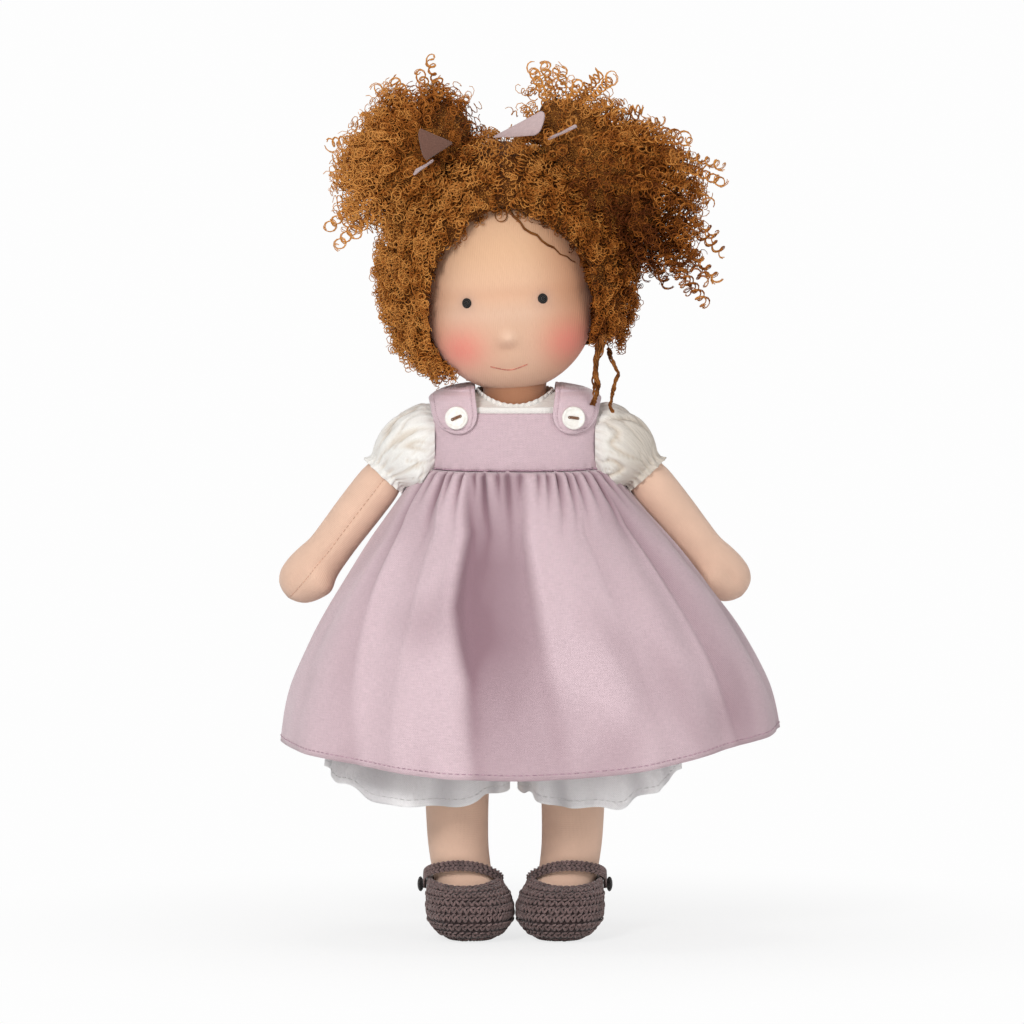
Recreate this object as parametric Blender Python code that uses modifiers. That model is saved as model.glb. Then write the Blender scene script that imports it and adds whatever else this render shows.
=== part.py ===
"""A waldorf doll about 38 cm tall: a stuffed knit body, a mohair wig in two bunches, and her clothes.

Metres, +Z up, and she faces -Y. Left and right are her own, so her left is +X. The origin lies on the
surface she stands on, under the middle of her skirt. The trunk, limbs and clothes are drawn about her
own middle plane; the head, the wig and the ribbons are drawn about the middle of her head.
"""

import math

import bmesh
import bpy
import numpy as np
from mathutils import Matrix, Vector

X_AXIS = Vector((1, 0, 0))
Y_AXIS = Vector((0, 1, 0))
Z_AXIS = Vector((0, 0, 1))
SIDES = {"right": -1, "left": 1}

# Clearances
GAP = 0.0003
LAYER_GAP = 0.0004

# Heights of the body
HIP_HEIGHT = 0.1465
TRUNK_LENGTH = 0.110
SHOULDER_DROP = 0.0135
WAIST_DROP = 0.0345
NECK_HEIGHT = HIP_HEIGHT + TRUNK_LENGTH
SHOULDER_HEIGHT = NECK_HEIGHT - SHOULDER_DROP
WAIST_HEIGHT = NECK_HEIGHT - WAIST_DROP

# Stuffed trunk, in shares of its length, half width and half depth, from the hip seam up
SKIN_WALL = 0.001
TORSO_HALF_WIDTH = 0.0384
TORSO_HALF_DEPTH = 0.022
TORSO_POWER = 2.6
TORSO_SIDES = 20
TORSO_SHARES = (
    (0.018, 0.885, 0.073),
    (0.073, 0.937, 0.273),
    (0.145, 0.974, 0.545),
    (0.236, 0.990, 0.795),
    (0.364, 0.979, 0.977),
    (0.509, 0.953, 1.000),
    (0.655, 0.964, 1.000),
    (0.782, 1.000, 0.990),
    (0.900, 1.000, 0.918),
    (0.936, 0.990, 0.890),
    (0.964, 0.924, 0.855),
    (0.985, 0.794, 0.818),
)
SHOULDER_SLOPE_SHARES = (0.78, 0.90)
NECK_DIP = 0.006
DIP_HEIGHT_SHARES = (0.900, 0.936, 0.964, 0.985, 1.0)
DIP_SHARES = (0.0, 0.30, 0.60, 0.85, 1.0)

# Neck stalk and the lean of the head on it
NECK_RADIUS = 0.0156
NECK_DEPTH = 0.018
NECK_CLEARANCE = 0.0010
NECK_CUP_SHARES = (0, 0.35, 0.7, 1)
NECK_STEPS = 24
HEAD_LEAN = math.radians(3.8)
HEAD_RISE = 0.0439

# Head: a ball below the middle, drawn up into a taller dome above it
HEAD_RADIUS = 0.041
HEAD_TOP = 0.063
HEAD_SIDES = 20
HEAD_HOLE_RADIUS = 0.010
HEAD_LOW_SHARES = (-0.90, -0.74, -0.54, -0.34, -0.15)
HEAD_HIGH_SHARES = (0.0, 0.05, 0.11, 0.28, 0.48, 0.69, 0.88)
EYE_LINE_DEPTH = 0.0008
EYE_LINE_WIDTH = 0.004
EYE_HEIGHT = 0.003
EYE_REACH = 0.0177
FACE_TURN = 0.0017
EYE_RADIUS = 0.0021
EYE_THICKNESS = 0.0011
NOSE_HEIGHT = -0.0146
NOSE_HALF_SIZES = (0.0045, 0.0014, 0.0040)
NOSE_LIFT = 0.0006
MOUTH_HEIGHT = -0.0299
MOUTH_HALF_WIDTH = 0.0088
MOUTH_SMILE = 0.0020
MOUTH_RADIUS = 0.00035
MOUTH_POINTS = 9
SMALL_BALL_COUNTS = (10, 6)

# Wig, in shares of its half width, half depth and height above the middle of the head
WIG_HALF_WIDTH = 0.0615
WIG_HALF_DEPTH = 0.049
WIG_HEIGHT = 0.078
WIG_BACK = 0.010
WIG_SIDES = 24
WIG_SHARES = (
    (-0.41, 0.65, 0.61, 1.00),
    (-0.26, 0.88, 0.86, 0.60),
    (0.00, 0.98, 0.98, 0.40),
    (0.26, 1.00, 1.00, 0.30),
    (0.54, 0.91, 0.94, 0.30),
    (0.77, 0.71, 0.76, 0.30),
    (0.92, 0.45, 0.50, 0.30),
)
HAIRLINE_DEPTH = 0.008
HAIRLINE_SHARES = (
    (-0.78, -1.46),
    (-0.78, -0.98),
    (-0.915, -0.49),
    (-0.927, 0.12),
    (-0.73, 0.59),
    (-0.39, 0.95),
    (0.0, 1.12),
    (0.34, 0.99),
    (0.70, 0.71),
    (0.93, 0.34),
    (0.95, -0.20),
    (0.93, -0.39),
    (1.13, -0.39),
    (1.15, -0.52),
    (1.56, -0.59),
    (1.56, -1.46),
)

# Hair bunches: middle of each about the middle of the head, half its depth, and how far it fans out from
# there every 15 degrees from +X up and round; then the tie they rock on
BUNCH_CLEARANCE = 0.0009
BUNCH_TIE = (0.026, -0.008, 0.074)
BUNCH_MIDDLES = {"right": (-0.0423, -0.002, 0.072), "left": (0.0528, -0.002, 0.0506)}
BUNCH_HALF_DEPTHS = {"right": 0.033, "left": 0.035}
BUNCH_REACHES = {
    "right": (0.039, 0.041, 0.044, 0.043, 0.040, 0.036, 0.034, 0.036, 0.032, 0.028, 0.029, 0.034,
              0.037, 0.040, 0.046, 0.053, 0.046, 0.042, 0.040, 0.038, 0.038, 0.038, 0.038, 0.038),
    "left": (0.051, 0.045, 0.044, 0.041, 0.039, 0.040, 0.048, 0.057, 0.063, 0.061, 0.054, 0.046,
             0.042, 0.042, 0.044, 0.046, 0.048, 0.050, 0.050, 0.052, 0.060, 0.062, 0.055, 0.051),
}
BUNCH_LEVEL_ANGLES = (-60, -36, -12, 12, 36, 60)

# Loose locks at her left cheek: routes about the middle of the head, and radius at the root
LOCK_ROUTES = {
    "thick": ((0.0415, -0.0205, -0.0164), (0.0410, -0.0210, -0.026), (0.0395, -0.0210, -0.036),
              (0.0375, -0.0205, -0.044), (0.0355, -0.0200, -0.0505)),
    "thin": ((0.0440, -0.0100, -0.0245), (0.0475, -0.0150, -0.031), (0.0480, -0.0195, -0.040),
             (0.0445, -0.0195, -0.048), (0.0455, -0.0200, -0.054)),
}
LOCK_RADII = {"thick": 0.0035, "thin": 0.0016}
LOCK_TIP_SHARE = 0.5

# Ribbon ends showing in front of the bunches: outlines about the middle of the head
RIBBON_THICKNESS = 0.0008
RIBBON_OUTLINES = {
    "ribbon_end_right": ((-0.0371, 0.0867), (-0.0349, 0.0710), (-0.0222, 0.0780)),
    "ribbon_fold_left": ((-0.0012, 0.0795), (0.0205, 0.0812), (0.0230, 0.0913)),
    "ribbon_tail_left": ((0.0240, 0.0765), (0.0365, 0.0815), (0.0371, 0.0836), (0.0240, 0.0790)),
}
RIBBON_CLEARANCE = 0.0006

# Arm: shares of reach, backward lean, drop and radius, with the slope of each section in degrees
ARM_DROP = 0.085
ARM_SPLAY = 0.7977
ARM_REACH = ARM_DROP * ARM_SPLAY
ARM_BACKS = {"right": 0.020, "left": 0.028}
ARM_RADIUS = 0.011
ARM_SIDES = 12
ARM_SHARES = (
    (0.000, 0.00, 0.000, 0.0, 0.864),
    (0.041, 0.00, 0.000, 0.0, 0.880),
    (0.142, 0.04, 0.041, 18.0, 0.870),
    (0.196, 0.14, 0.147, 48.0, 0.920),
    (0.314, 0.32, 0.288, 52.0, 0.855),
    (0.380, 0.39, 0.360, 52.0, 0.960),
    (0.560, 0.53, 0.550, 53.0, 0.950),
    (0.730, 0.72, 0.735, 53.0, 0.930),
    (0.850, 0.86, 0.855, 53.0, 1.080),
    (0.920, 0.93, 0.925, 53.0, 1.020),
    (0.970, 0.98, 0.970, 53.0, 0.700),
)
THUMB_BULGE = 0.0042
THUMB_SHARE = 0.86
THUMB_SPREAD_SHARE = 0.06
THUMB_ANGLE = math.radians(40.0)
THUMB_INWARD_SHARE = 0.55
THUMB_FORWARD_SHARE = 0.75
THUMB_DOWN_SHARE = 0.35

# Puffed sleeve, on the arm's own reach and drop, with its radius in shares of the puff's
SLEEVE_RADIUS = 0.0168
SLEEVE_WALL = 0.0009
SLEEVE_SIDES = 16
SLEEVE_SHARES = (
    (0.046, 0.00, 0.000, 0.0, 0.643),
    (0.095, 0.02, 0.025, 12.0, 0.786),
    (0.188, 0.08, 0.086, 30.0, 1.040),
    (0.243, 0.20, 0.186, 45.0, 0.780),
    (0.314, 0.32, 0.288, 52.0, 0.684),
    (0.341, 0.35, 0.314, 52.0, 0.696),
)
SLEEVE_ELASTIC_RADIUS = 0.0003
SLEEVE_ELASTIC_ROW = 4
ELASTIC_CORD_SIDES = 5

# Hip seam and leg, in shares of the leg's reach, the height between hip and ankle, and its radius
HIP_SEAM_RADIUS = 0.0016
HIP_SEAM_HALF_LENGTH = 0.034
HIP_SEAM_SIDES = 8
LEG_REACH = 0.0272
LEG_RADIUS = 0.0165
LEG_SIDES = 14
ANKLE_HEIGHT = 0.036
LEG_SHARES = (
    (0.765, 0.924, 0.933, 0.394),
    (0.779, 0.861, 0.958, 0.715),
    (0.809, 0.801, 0.970, 0.939),
    (0.956, 0.615, 1.000, 1.000),
    (1.000, 0.335, 0.909, 0.909),
    (0.993, 0.127, 0.867, 0.867),
    (0.956, 0.000, 0.848, 0.848),
)
LEG_TOP_WIDTH_SHARE = 0.909
LEG_TOP_REACH_SHARE = 0.754
LEG_TOP_HALF_DEPTH = 0.0016
LEG_BACK = 0.002

# Foot, in shares of the leg's reach, the foot's length, the ankle's rise over the sole, and the widths
FOOT_LENGTH = 0.032
FOOT_SHARES = (
    (0.875, 0.000, 0.658, 35.0, 0.830, 0.440),
    (0.785, 0.219, 0.394, 65.0, 0.990, 0.388),
    (0.765, 0.516, 0.326, 85.0, 1.020, 0.298),
    (0.765, 0.812, 0.286, 90.0, 0.848, 0.248),
)
TOE_TIP_SHARES = (0.765, 1.0, 0.301)

# Shoe: shares of rim height, leg reach, half width, toe length and heel length
SOLE_THICKNESS = 0.0038
SOLE_INSET = 0.0010
SHOE_WALL = 0.0022
SHOE_RIM_RISE = 0.0244
SHOE_HALF_WIDTH = 0.0204
SHOE_TOE = 0.038
SHOE_HEEL = 0.0198
SHOE_POWER = 2.4
SHOE_SIDES = 20
SHOE_SHARES = (
    (0.000, 0.772, 0.912, 0.908, 0.859),
    (0.242, 0.772, 1.000, 1.000, 0.985),
    (0.529, 0.783, 0.990, 0.987, 1.000),
    (0.775, 0.827, 0.912, 0.855, 0.970),
    (0.939, 0.875, 0.833, 0.658, 0.940),
    (1.000, 0.893, 0.814, 0.447, 0.920),
)
SHOE_STRAP_HALF_HEIGHT = 0.0024
SHOE_STRAP_HALF_THICKNESS = 0.0007
SHOE_STRAP_RADIUS = 0.0158
SHOE_STRAP_SIDES = 8
SHOE_STRAP_POWER = 4
SHOE_STRAP_LOW = 0.0245
SHOE_STRAP_HIGH = 0.0352
SHOE_STRAP_TURN_SHARES = (0.00, 0.06, 0.12, 0.20, 0.35, 0.50, 0.65, 0.82, 1.00)
SHOE_STRAP_RISE_SHARES = (0.00, 0.30, 0.55, 0.76, 0.93, 1.00, 0.95, 0.80, 0.66)
SHOE_STRAP_RADIUS_SHARES = (1.13, 1.15, 1.18, 1.12, 1.03, 1.00, 1.00, 1.00, 1.00)
SHOE_BUTTON_RADIUS = 0.0034
SHOE_BUTTON_THICKNESS = 0.0026
SHOE_BUTTON_PROFILE_SHARES = ((0, 0), (0.8, 0.0), (1, 0.33), (0.88, 0.66), (0.55, 0.93), (0, 1))
SHOE_BUTTON_SIDES = 12

# Bloomers: a seat round the hips and a flared leg on each thigh
BLOOMERS_WALL = 0.0008
SEAT_TOP_DROP = 0.016
SEAT_DROP = 0.0225
SEAT_EASE = 0.0028
SEAT_HALF_WIDTH = 0.042
SEAT_HALF_DEPTH = 0.027
SEAT_SHARES = ((0.80, 0.965, 0.965), (0.56, 1.0, 1.0), (0.30, 0.99, 0.98), (0.0, 0.965, 0.82))
WAIST_ELASTIC_DROP = 0.003
WAIST_ELASTIC_HEIGHT = 0.005
BLOOMERS_TOP_DROP = 0.0240
BLOOMERS_TOP_MIDDLE_SHARE = 0.832
BLOOMERS_TOP_RADIUS = 0.0174
BLOOMERS_DROP = 0.0585
BLOOMERS_HEM_REACHES = {"right": 0.090, "left": 0.079}
BLOOMERS_HEM_INNER = 0.0008
BLOOMERS_HEM_HALF_DEPTH = 0.039
BLOOMERS_OUTER_RISE = 0.012
BLOOMERS_INNER_RISE = 0.008
BLOOMERS_FOLD_DEPTH = 0.0018
BLOOMERS_FOLDS = 8
BLOOMERS_SIDES = 32
BLOOMERS_SPLIT_SHARES = (0.0, 0.12, 0.36, 0.68, 1.0)

# Blouse under the dress
BLOUSE_WALL = 0.0008
BLOUSE_TAIL = 0.0135
ARMHOLE_RADIUS = 0.0102
ARMHOLE_SIDES = 20
NECKBAND_WALL = 0.0015
NECKBAND_HEIGHT = 0.0026

# Dress: bib, gathered skirt, straps and their buttons
DRESS_WALL = 0.0012
BODICE_RISE = 0.027
ARM_OPENING_RISE = 0.0065
BODICE_RISE_SHARES = (0.0, 0.30, 0.65, 1.0)
ARM_OPENING_SPREAD = 2.2
SKIRT_WAIST_HALF_WIDTH = 0.0405
SKIRT_WAIST_HALF_DEPTH = 0.027
SKIRT_FLARES = {"right": 0.0695, "left": 0.0836}
SKIRT_DEPTH_FLARE = 0.053
SKIRT_FRONT_DROP = 0.1405
SKIRT_SIDE_DROPS = {"right": 0.1285, "left": 0.1225}
SKIRT_ROUNDING_SHARE = 0.75
SKIRT_SPLIT_SHARES = (0.0, 0.09, 0.24, 0.46, 0.72, 1.0)
SKIRT_POWERS = (2.6, 1.75, 2.0)
SKIRT_POWER_SHARES = (0.0, 0.20, 1.0)
SKIRT_FLANK_FORWARD = 0.005
SKIRT_SIDES = 72

# Soft folds of the skirt: turn at the waist and at the hem in degrees, how far out, spread, and the share
# of the drop at which each starts
SKIRT_FOLD_GROWTH = 0.4
SKIRT_FOLDS = (
    (206, 206, 0.0018, 9, 0.3),
    (218, 229, -0.0030, 7, 0.15),
    (238, 247, 0.0026, 8, 0.05),
    (244, 245, -0.0026, 7, 0.6),
    (246, 259, -0.0062, 4.5, 0.02),
    (260, 268, -0.0016, 9, 0.05),
    (273, 279, -0.0062, 4.5, 0.02),
    (284, 287, -0.0024, 6, 0.45),
    (288, 296, 0.0028, 11, 0.05),
    (305, 309, -0.0016, 9, 0.3),
    (324, 325, -0.0028, 6, 0.12),
    (340, 341, 0.0016, 9, 0.2),
    (0, 0, 0.00098, 9, 0.2),
    (22, 20, -0.0028, 8, 0.1),
    (44, 42, 0.0028, 10, 0.1),
    (66, 66, -0.0036, 8, 0.1),
    (90, 90, -0.00164, 11, 0.1),
    (112, 114, -0.0038, 8, 0.1),
    (134, 137, 0.0028, 10, 0.1),
    (158, 160, -0.0028, 8, 0.1),
    (180, 180, 0.0010, 9, 0.2),
)
STRAP_WIDTH = 0.0215
STRAP_THICKNESS = 0.0016
STRAP_MIDDLE = 0.0270
STRAP_SHOULDER_MIDDLE = 0.0298
STRAP_LOW_RISE = 0.0173
STRAP_BACK_RISE = 0.0210
STRAP_ROUND_ANGLES = (18, 40, 65, 90)
STRAP_ROWS = 9
STRAP_COLUMNS = 5
STRAP_BUTTON_RISE = 0.0248
STRAP_BUTTON_RADIUS = 0.0055
STRAP_BUTTON_THICKNESS = 0.0021
BUTTON_HOLE_RADIUS = 0.0008
BUTTON_HOLE_REACH = 0.0017
BUTTON_HOLE_SIDES = 8
STRAP_BUTTON_SIDES = 16
BUTTON_PROFILE_SHARES = ((0.0, 0.0), (0.84, 0.0), (0.95, 0.12), (1.0, 0.55), (0.92, 1.0), (0.76, 1.0),
                         (0.66, 0.66), (0.0, 0.66))
BUTTON_SLANTS = {"right": math.radians(24.0), "left": math.radians(-8.0)}
THREAD_RADIUS = 0.0004
THREAD_ROUTE_SHARES = ((-1, 0), (-1, 0.8), (-0.8, 1), (0.8, 1), (1, 0.8), (1, 0))
PROBE_SHARE = 0.01

BODY_MIDDLE = (SKIRT_FLARES["right"] - SKIRT_FLARES["left"]) / 2
SHOULDER_REACH = TORSO_HALF_WIDTH + GAP
OVERRUN = 0.02

FINISHES = {
    "skin": ((0.86, 0.56, 0.42), 0.85),
    "wool": ((0.88, 0.84, 0.76), 0.95),
    "eye_thread": ((0.02, 0.015, 0.012), 0.5),
    "mouth_thread": ((0.55, 0.16, 0.12), 0.7),
    "mohair": ((0.42, 0.17, 0.05), 0.8),
    "white_cotton": ((0.88, 0.86, 0.83), 0.9),
    "mauve_linen": ((0.58, 0.42, 0.47), 0.9),
    "elastic": ((0.9, 0.9, 0.88), 0.8),
    "button": ((0.86, 0.83, 0.78), 0.45),
    "brown_thread": ((0.25, 0.14, 0.09), 0.8),
    "crochet": ((0.13, 0.095, 0.09), 0.9),
    "black_button": ((0.02, 0.02, 0.02), 0.4),
}

for old in list(bpy.data.objects):
    bpy.data.objects.remove(old, do_unlink=True)

parts = bpy.data.collections.new("waldorf_doll")
cutters = bpy.data.collections.new("cutters")
for collection in (parts, cutters):
    bpy.context.scene.collection.children.link(collection)
cutters.hide_render = True


def finish_material(name):
    """The material of a finish, made when it is first asked for."""
    if name in bpy.data.materials:
        return bpy.data.materials[name]
    colour, roughness = FINISHES[name]
    material = bpy.data.materials.new(name)
    material.use_nodes = True
    shader = material.node_tree.nodes["Principled BSDF"]
    shader.inputs["Base Color"].default_value = (*colour, 1)
    shader.inputs["Roughness"].default_value = roughness
    shader.inputs["Metallic"].default_value = 0
    material.diffuse_color = (*colour, 1)
    return material


# Joints: an empty on the axis of each moving body
body_frames = {}


def joint_empty(name, parent, matrix):
    """An empty at a joint; its matrix is given in its parent's frame."""
    empty = bpy.data.objects.new(name, None)
    parts.objects.link(empty)
    empty.parent = parent
    empty.matrix_local = matrix
    body_frames[name] = body_frames[parent.name] @ matrix if parent else Matrix.Identity(4)
    return empty


def at(x, y, z):
    return Matrix.Translation((x, y, z))


doll = joint_empty("doll", None, at(BODY_MIDDLE, 0, 0))
neck = joint_empty("neck_joint", doll, at(0, 0, NECK_HEIGHT) @ Matrix.Rotation(-HEAD_LEAN, 4, "Y"))
head = joint_empty("head_joint", neck, at(0, 0, HEAD_RISE))
hips = joint_empty("hip_joint", doll, at(0, 0, HIP_HEIGHT))
bunches, arms, legs = {}, {}, {}
for side, sign in SIDES.items():
    tie_x, tie_y, tie_z = BUNCH_TIE
    bunches[side] = joint_empty(f"bunch_{side}_joint", head, at(sign * tie_x, tie_y, tie_z))
    arms[side] = joint_empty(f"arm_{side}_joint", doll, at(sign * SHOULDER_REACH, 0, SHOULDER_HEIGHT))
    legs[side] = joint_empty(f"leg_{side}_joint", hips, at(sign * LEG_REACH * LEG_TOP_REACH_SHARE, 0, 0))


# Makers of pieces
def place(piece, parent, drawn_in):
    """Parents a piece drawn in one joint's frame to another joint, without moving it."""
    to_parent = body_frames[parent.name].inverted() @ body_frames[drawn_in.name]
    piece.data.transform(to_parent)
    piece.parent = parent


def add_piece(name, mesh, finish, parent, drawn_in=doll):
    piece = bpy.data.objects.new(name, mesh)
    parts.objects.link(piece)
    place(piece, parent, drawn_in)
    mesh.materials.append(finish_material(finish))
    for polygon in mesh.polygons:
        polygon.use_smooth = True
    return piece


def add_cutter(name, mesh, parent, drawn_in=doll):
    cutter = bpy.data.objects.new(name, mesh)
    cutters.objects.link(cutter)
    place(cutter, parent, drawn_in)
    cutter.hide_render = True
    cutter.display_type = "WIRE"
    return cutter


def combine(piece, other, operation):
    boolean = piece.modifiers.new(operation.lower(), "BOOLEAN")
    boolean.object = other
    boolean.operation = operation
    boolean.solver = "EXACT"


def thicken(piece, wall):
    """Gives an open surface its wall, inwards."""
    solidify = piece.modifiers.new("wall", "SOLIDIFY")
    solidify.thickness = wall
    solidify.offset = -1


def shrink(piece, depth):
    """Moves a closed surface in by a depth, as what fills it."""
    displace = piece.modifiers.new("fill", "DISPLACE")
    displace.mid_level = 0
    displace.strength = -depth


def mesh_from(shape, name):
    mesh = bpy.data.meshes.new(name)
    shape.to_mesh(mesh)
    shape.free()
    return mesh


def ring(middle, across, along, half_across, half_along, count, power=2.0):
    """Points round a superellipse in the plane of two unit vectors."""
    points = []
    for index in range(count):
        turn = math.tau * index / count
        side_share = math.copysign(abs(math.cos(turn)) ** (2 / power), math.cos(turn))
        end_share = math.copysign(abs(math.sin(turn)) ** (2 / power), math.sin(turn))
        points.append(middle + across * (half_across * side_share) + along * (half_along * end_share))
    return points


def loft(name, rings, open_start=False, open_end=False):
    """A mesh through rings of points, facing out. A ring of one point is a pole."""
    shape = bmesh.new()
    levels = [[shape.verts.new(point) for point in points] for points in rings]
    for lower, upper in zip(levels, levels[1:]):
        for index in range(max(len(lower), len(upper))):
            after = index + 1
            corners = (lower[index % len(lower)], lower[after % len(lower)],
                       upper[after % len(upper)], upper[index % len(upper)])
            shape.faces.new(list(dict.fromkeys(corners)))
    caps = [shape.faces.new(level) if len(level) > 1 else None for level in (levels[0], levels[-1])]
    bmesh.ops.recalc_face_normals(shape, faces=shape.faces)
    opened = [cap for cap, is_open in zip(caps, (open_start, open_end)) if is_open]
    bmesh.ops.delete(shape, geom=opened, context="FACES_ONLY")
    return mesh_from(shape, name)


def turned(name, profile, steps, finish, parent, drawn_in):
    """A solid turned about Z from a profile of radius and height that runs down its outer side."""
    mesh = bpy.data.meshes.new(name)
    points = [(radius, 0, height) for radius, height in profile]
    mesh.from_pydata(points, [(index, index + 1) for index in range(len(points) - 1)], [])
    piece = add_piece(name, mesh, finish, parent, drawn_in)
    screw = piece.modifiers.new("turn", "SCREW")
    screw.steps = screw.render_steps = steps
    screw.use_merge_vertices = True
    screw.merge_threshold = 0.00001
    return piece


def ellipsoid(middle, half_sizes, turn_count, level_count):
    shape = bmesh.new()
    bmesh.ops.create_uvsphere(shape, u_segments=turn_count, v_segments=level_count, radius=1)
    bmesh.ops.scale(shape, vec=Vector(half_sizes), verts=shape.verts)
    bmesh.ops.translate(shape, vec=Vector(middle), verts=shape.verts)
    return mesh_from(shape, "ellipsoid")


def tube(name, points, radius, finish, parent, drawn_in, radius_shares=None):
    """A round cord along points, with filled caps."""
    curve = bpy.data.curves.new(name, "CURVE")
    curve.dimensions = "3D"
    curve.bevel_depth = radius
    curve.bevel_resolution = 1
    curve.use_fill_caps = True
    spline = curve.splines.new("POLY")
    spline.points.add(len(points) - 1)
    to_parent = body_frames[parent.name].inverted() @ body_frames[drawn_in.name]
    for index, point in enumerate(points):
        spline.points[index].co = (*(to_parent @ Vector(point)), 1)
        spline.points[index].radius = radius_shares[index] if radius_shares else 1
    curve.materials.append(finish_material(finish))
    piece = bpy.data.objects.new(name, curve)
    parts.objects.link(piece)
    piece.parent = parent
    return piece


def button_levels(profile, radius, thickness, sides):
    """Rings of a round button, from a profile in shares of its radius and thickness."""
    levels = []
    for reach, height in profile:
        middle = Z_AXIS * (thickness * height)
        level_radius = radius * reach
        levels.append(ring(middle, X_AXIS, Y_AXIS, level_radius, level_radius, sides) if reach else [middle])
    return levels


def plate(name, outline, front, thickness, finish, parent, drawn_in):
    """A flat plate with an outline in X and Z, its front face at a given Y."""
    shape = bmesh.new()
    face = shape.faces.new([shape.verts.new((x, front, z)) for x, z in outline])
    grown = bmesh.ops.extrude_face_region(shape, geom=[face])
    moved = [item for item in grown["geom"] if isinstance(item, bmesh.types.BMVert)]
    bmesh.ops.translate(shape, vec=Y_AXIS * thickness, verts=moved)
    bmesh.ops.recalc_face_normals(shape, faces=shape.faces)
    return add_piece(name, mesh_from(shape, name), finish, parent, drawn_in)


# Trunk
def torso_share(height, offset):
    """Where a height lies on the trunk, allowing for an offset that lifts the shoulders' slope."""
    share = (height - HIP_HEIGHT) / TRUNK_LENGTH
    return share - offset / TRUNK_LENGTH * np.interp(share, SHOULDER_SLOPE_SHARES, (0, 1))


def torso_half_sizes(height, offset):
    """Half width and half depth of the trunk at a height, grown by an offset."""
    height_shares, width_shares, depth_shares = zip(*TORSO_SHARES)
    share = torso_share(height, offset)
    return (TORSO_HALF_WIDTH * np.interp(share, height_shares, width_shares) + offset,
            TORSO_HALF_DEPTH * np.interp(share, height_shares, depth_shares) + offset)


def dip_front(points, share, half_depth):
    """Lowers the front of a ring near the neck."""
    dip = NECK_DIP * np.interp(share, DIP_HEIGHT_SHARES, DIP_SHARES)
    for point in points:
        point.z -= dip * min(max(-point.y / half_depth, 0), 1) ** 2
    return points


def torso_ring(height, offset=0.0):
    half_width, half_depth = torso_half_sizes(height, offset)
    middle = Z_AXIS * height
    points = ring(middle, X_AXIS, Y_AXIS, half_width, half_depth, TORSO_SIDES, TORSO_POWER)
    return dip_front(points, torso_share(height, offset), half_depth)


def lifted_height(share, offset):
    """The height of a share of the trunk, lifted by an offset on the shoulders' slope."""
    return torso_height(share) + offset * np.interp(share, SHOULDER_SLOPE_SHARES, (0, 1))


def neck_ring(rise, radius):
    """A round ring about the neck, dipped at the front with the neckline."""
    points = ring(Z_AXIS * (NECK_HEIGHT + rise), X_AXIS, Y_AXIS, radius, radius, TORSO_SIDES)
    return dip_front(points, 1.0, radius)


def torso_height(share):
    return HIP_HEIGHT + share * TRUNK_LENGTH


NECK_HOLE_RADIUS = NECK_RADIUS + NECK_CLEARANCE


def make_torso():
    rings = [torso_ring(torso_height(shares[0])) for shares in TORSO_SHARES]
    skin_rings = rings + [neck_ring(NECK_CLEARANCE, NECK_HOLE_RADIUS)]
    skin = add_piece("torso_skin", loft("torso_skin", skin_rings, open_end=True), "skin", doll)
    thicken(skin, SKIN_WALL)
    stuffing = add_piece("torso_stuffing", loft("torso_stuffing", rings), "wool", doll)
    shrink(stuffing, SKIN_WALL + LAYER_GAP)
    floor = ring(Z_AXIS * -(NECK_DEPTH + LAYER_GAP), X_AXIS, Y_AXIS, NECK_HOLE_RADIUS, NECK_HOLE_RADIUS,
                 TORSO_SIDES)
    top = ring(Z_AXIS * OVERRUN, X_AXIS, Y_AXIS, NECK_HOLE_RADIUS, NECK_HOLE_RADIUS, TORSO_SIDES)
    socket = add_cutter("neck_socket", loft("neck_socket", [floor, top]), doll, neck)
    combine(stuffing, socket, "DIFFERENCE")
    hip_ends = [ring(Vector((end * HIP_SEAM_HALF_LENGTH, 0, HIP_HEIGHT)), Y_AXIS, Z_AXIS,
                     HIP_SEAM_RADIUS, HIP_SEAM_RADIUS, HIP_SEAM_SIDES) for end in (-1, 1)]
    add_piece("hip_seam", loft("hip_seam", hip_ends), "skin", hips)


# Neck and head
def make_neck():
    cup_radius = HEAD_RADIUS + GAP
    cup = [(NECK_RADIUS * share, HEAD_RISE - math.sqrt(cup_radius**2 - (NECK_RADIUS * share) ** 2))
           for share in NECK_CUP_SHARES]
    profile = cup + [(NECK_RADIUS, -NECK_DEPTH), (0, -NECK_DEPTH)]
    turned("neck_stalk", profile, NECK_STEPS, "skin", neck, neck)


def head_radius(height, offset=0.0):
    """Radius of the head at a height above its middle."""
    reach = (HEAD_TOP if height > 0 else HEAD_RADIUS) + offset
    return (HEAD_RADIUS + offset) * math.sqrt(max(1 - (height / reach) ** 2, 0))


def head_rings(offset=0.0, lowest=None):
    """Rings of the head's surface, from the hole underneath to the crown."""
    low = HEAD_RADIUS + offset
    heights = [-math.sqrt(low**2 - HEAD_HOLE_RADIUS**2) if lowest is None else lowest]
    heights += [share * low for share in HEAD_LOW_SHARES]
    heights += [share * (HEAD_TOP + offset) for share in HEAD_HIGH_SHARES]
    rings = []
    for height in heights:
        radius = head_radius(height, offset)
        if offset == 0:
            radius -= EYE_LINE_DEPTH * math.exp(-((height - EYE_HEIGHT) / EYE_LINE_WIDTH) ** 2)
        rings.append(ring(Z_AXIS * height, X_AXIS, Y_AXIS, radius, radius, HEAD_SIDES))
    return rings + [[Z_AXIS * (HEAD_TOP + offset)]]


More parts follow.
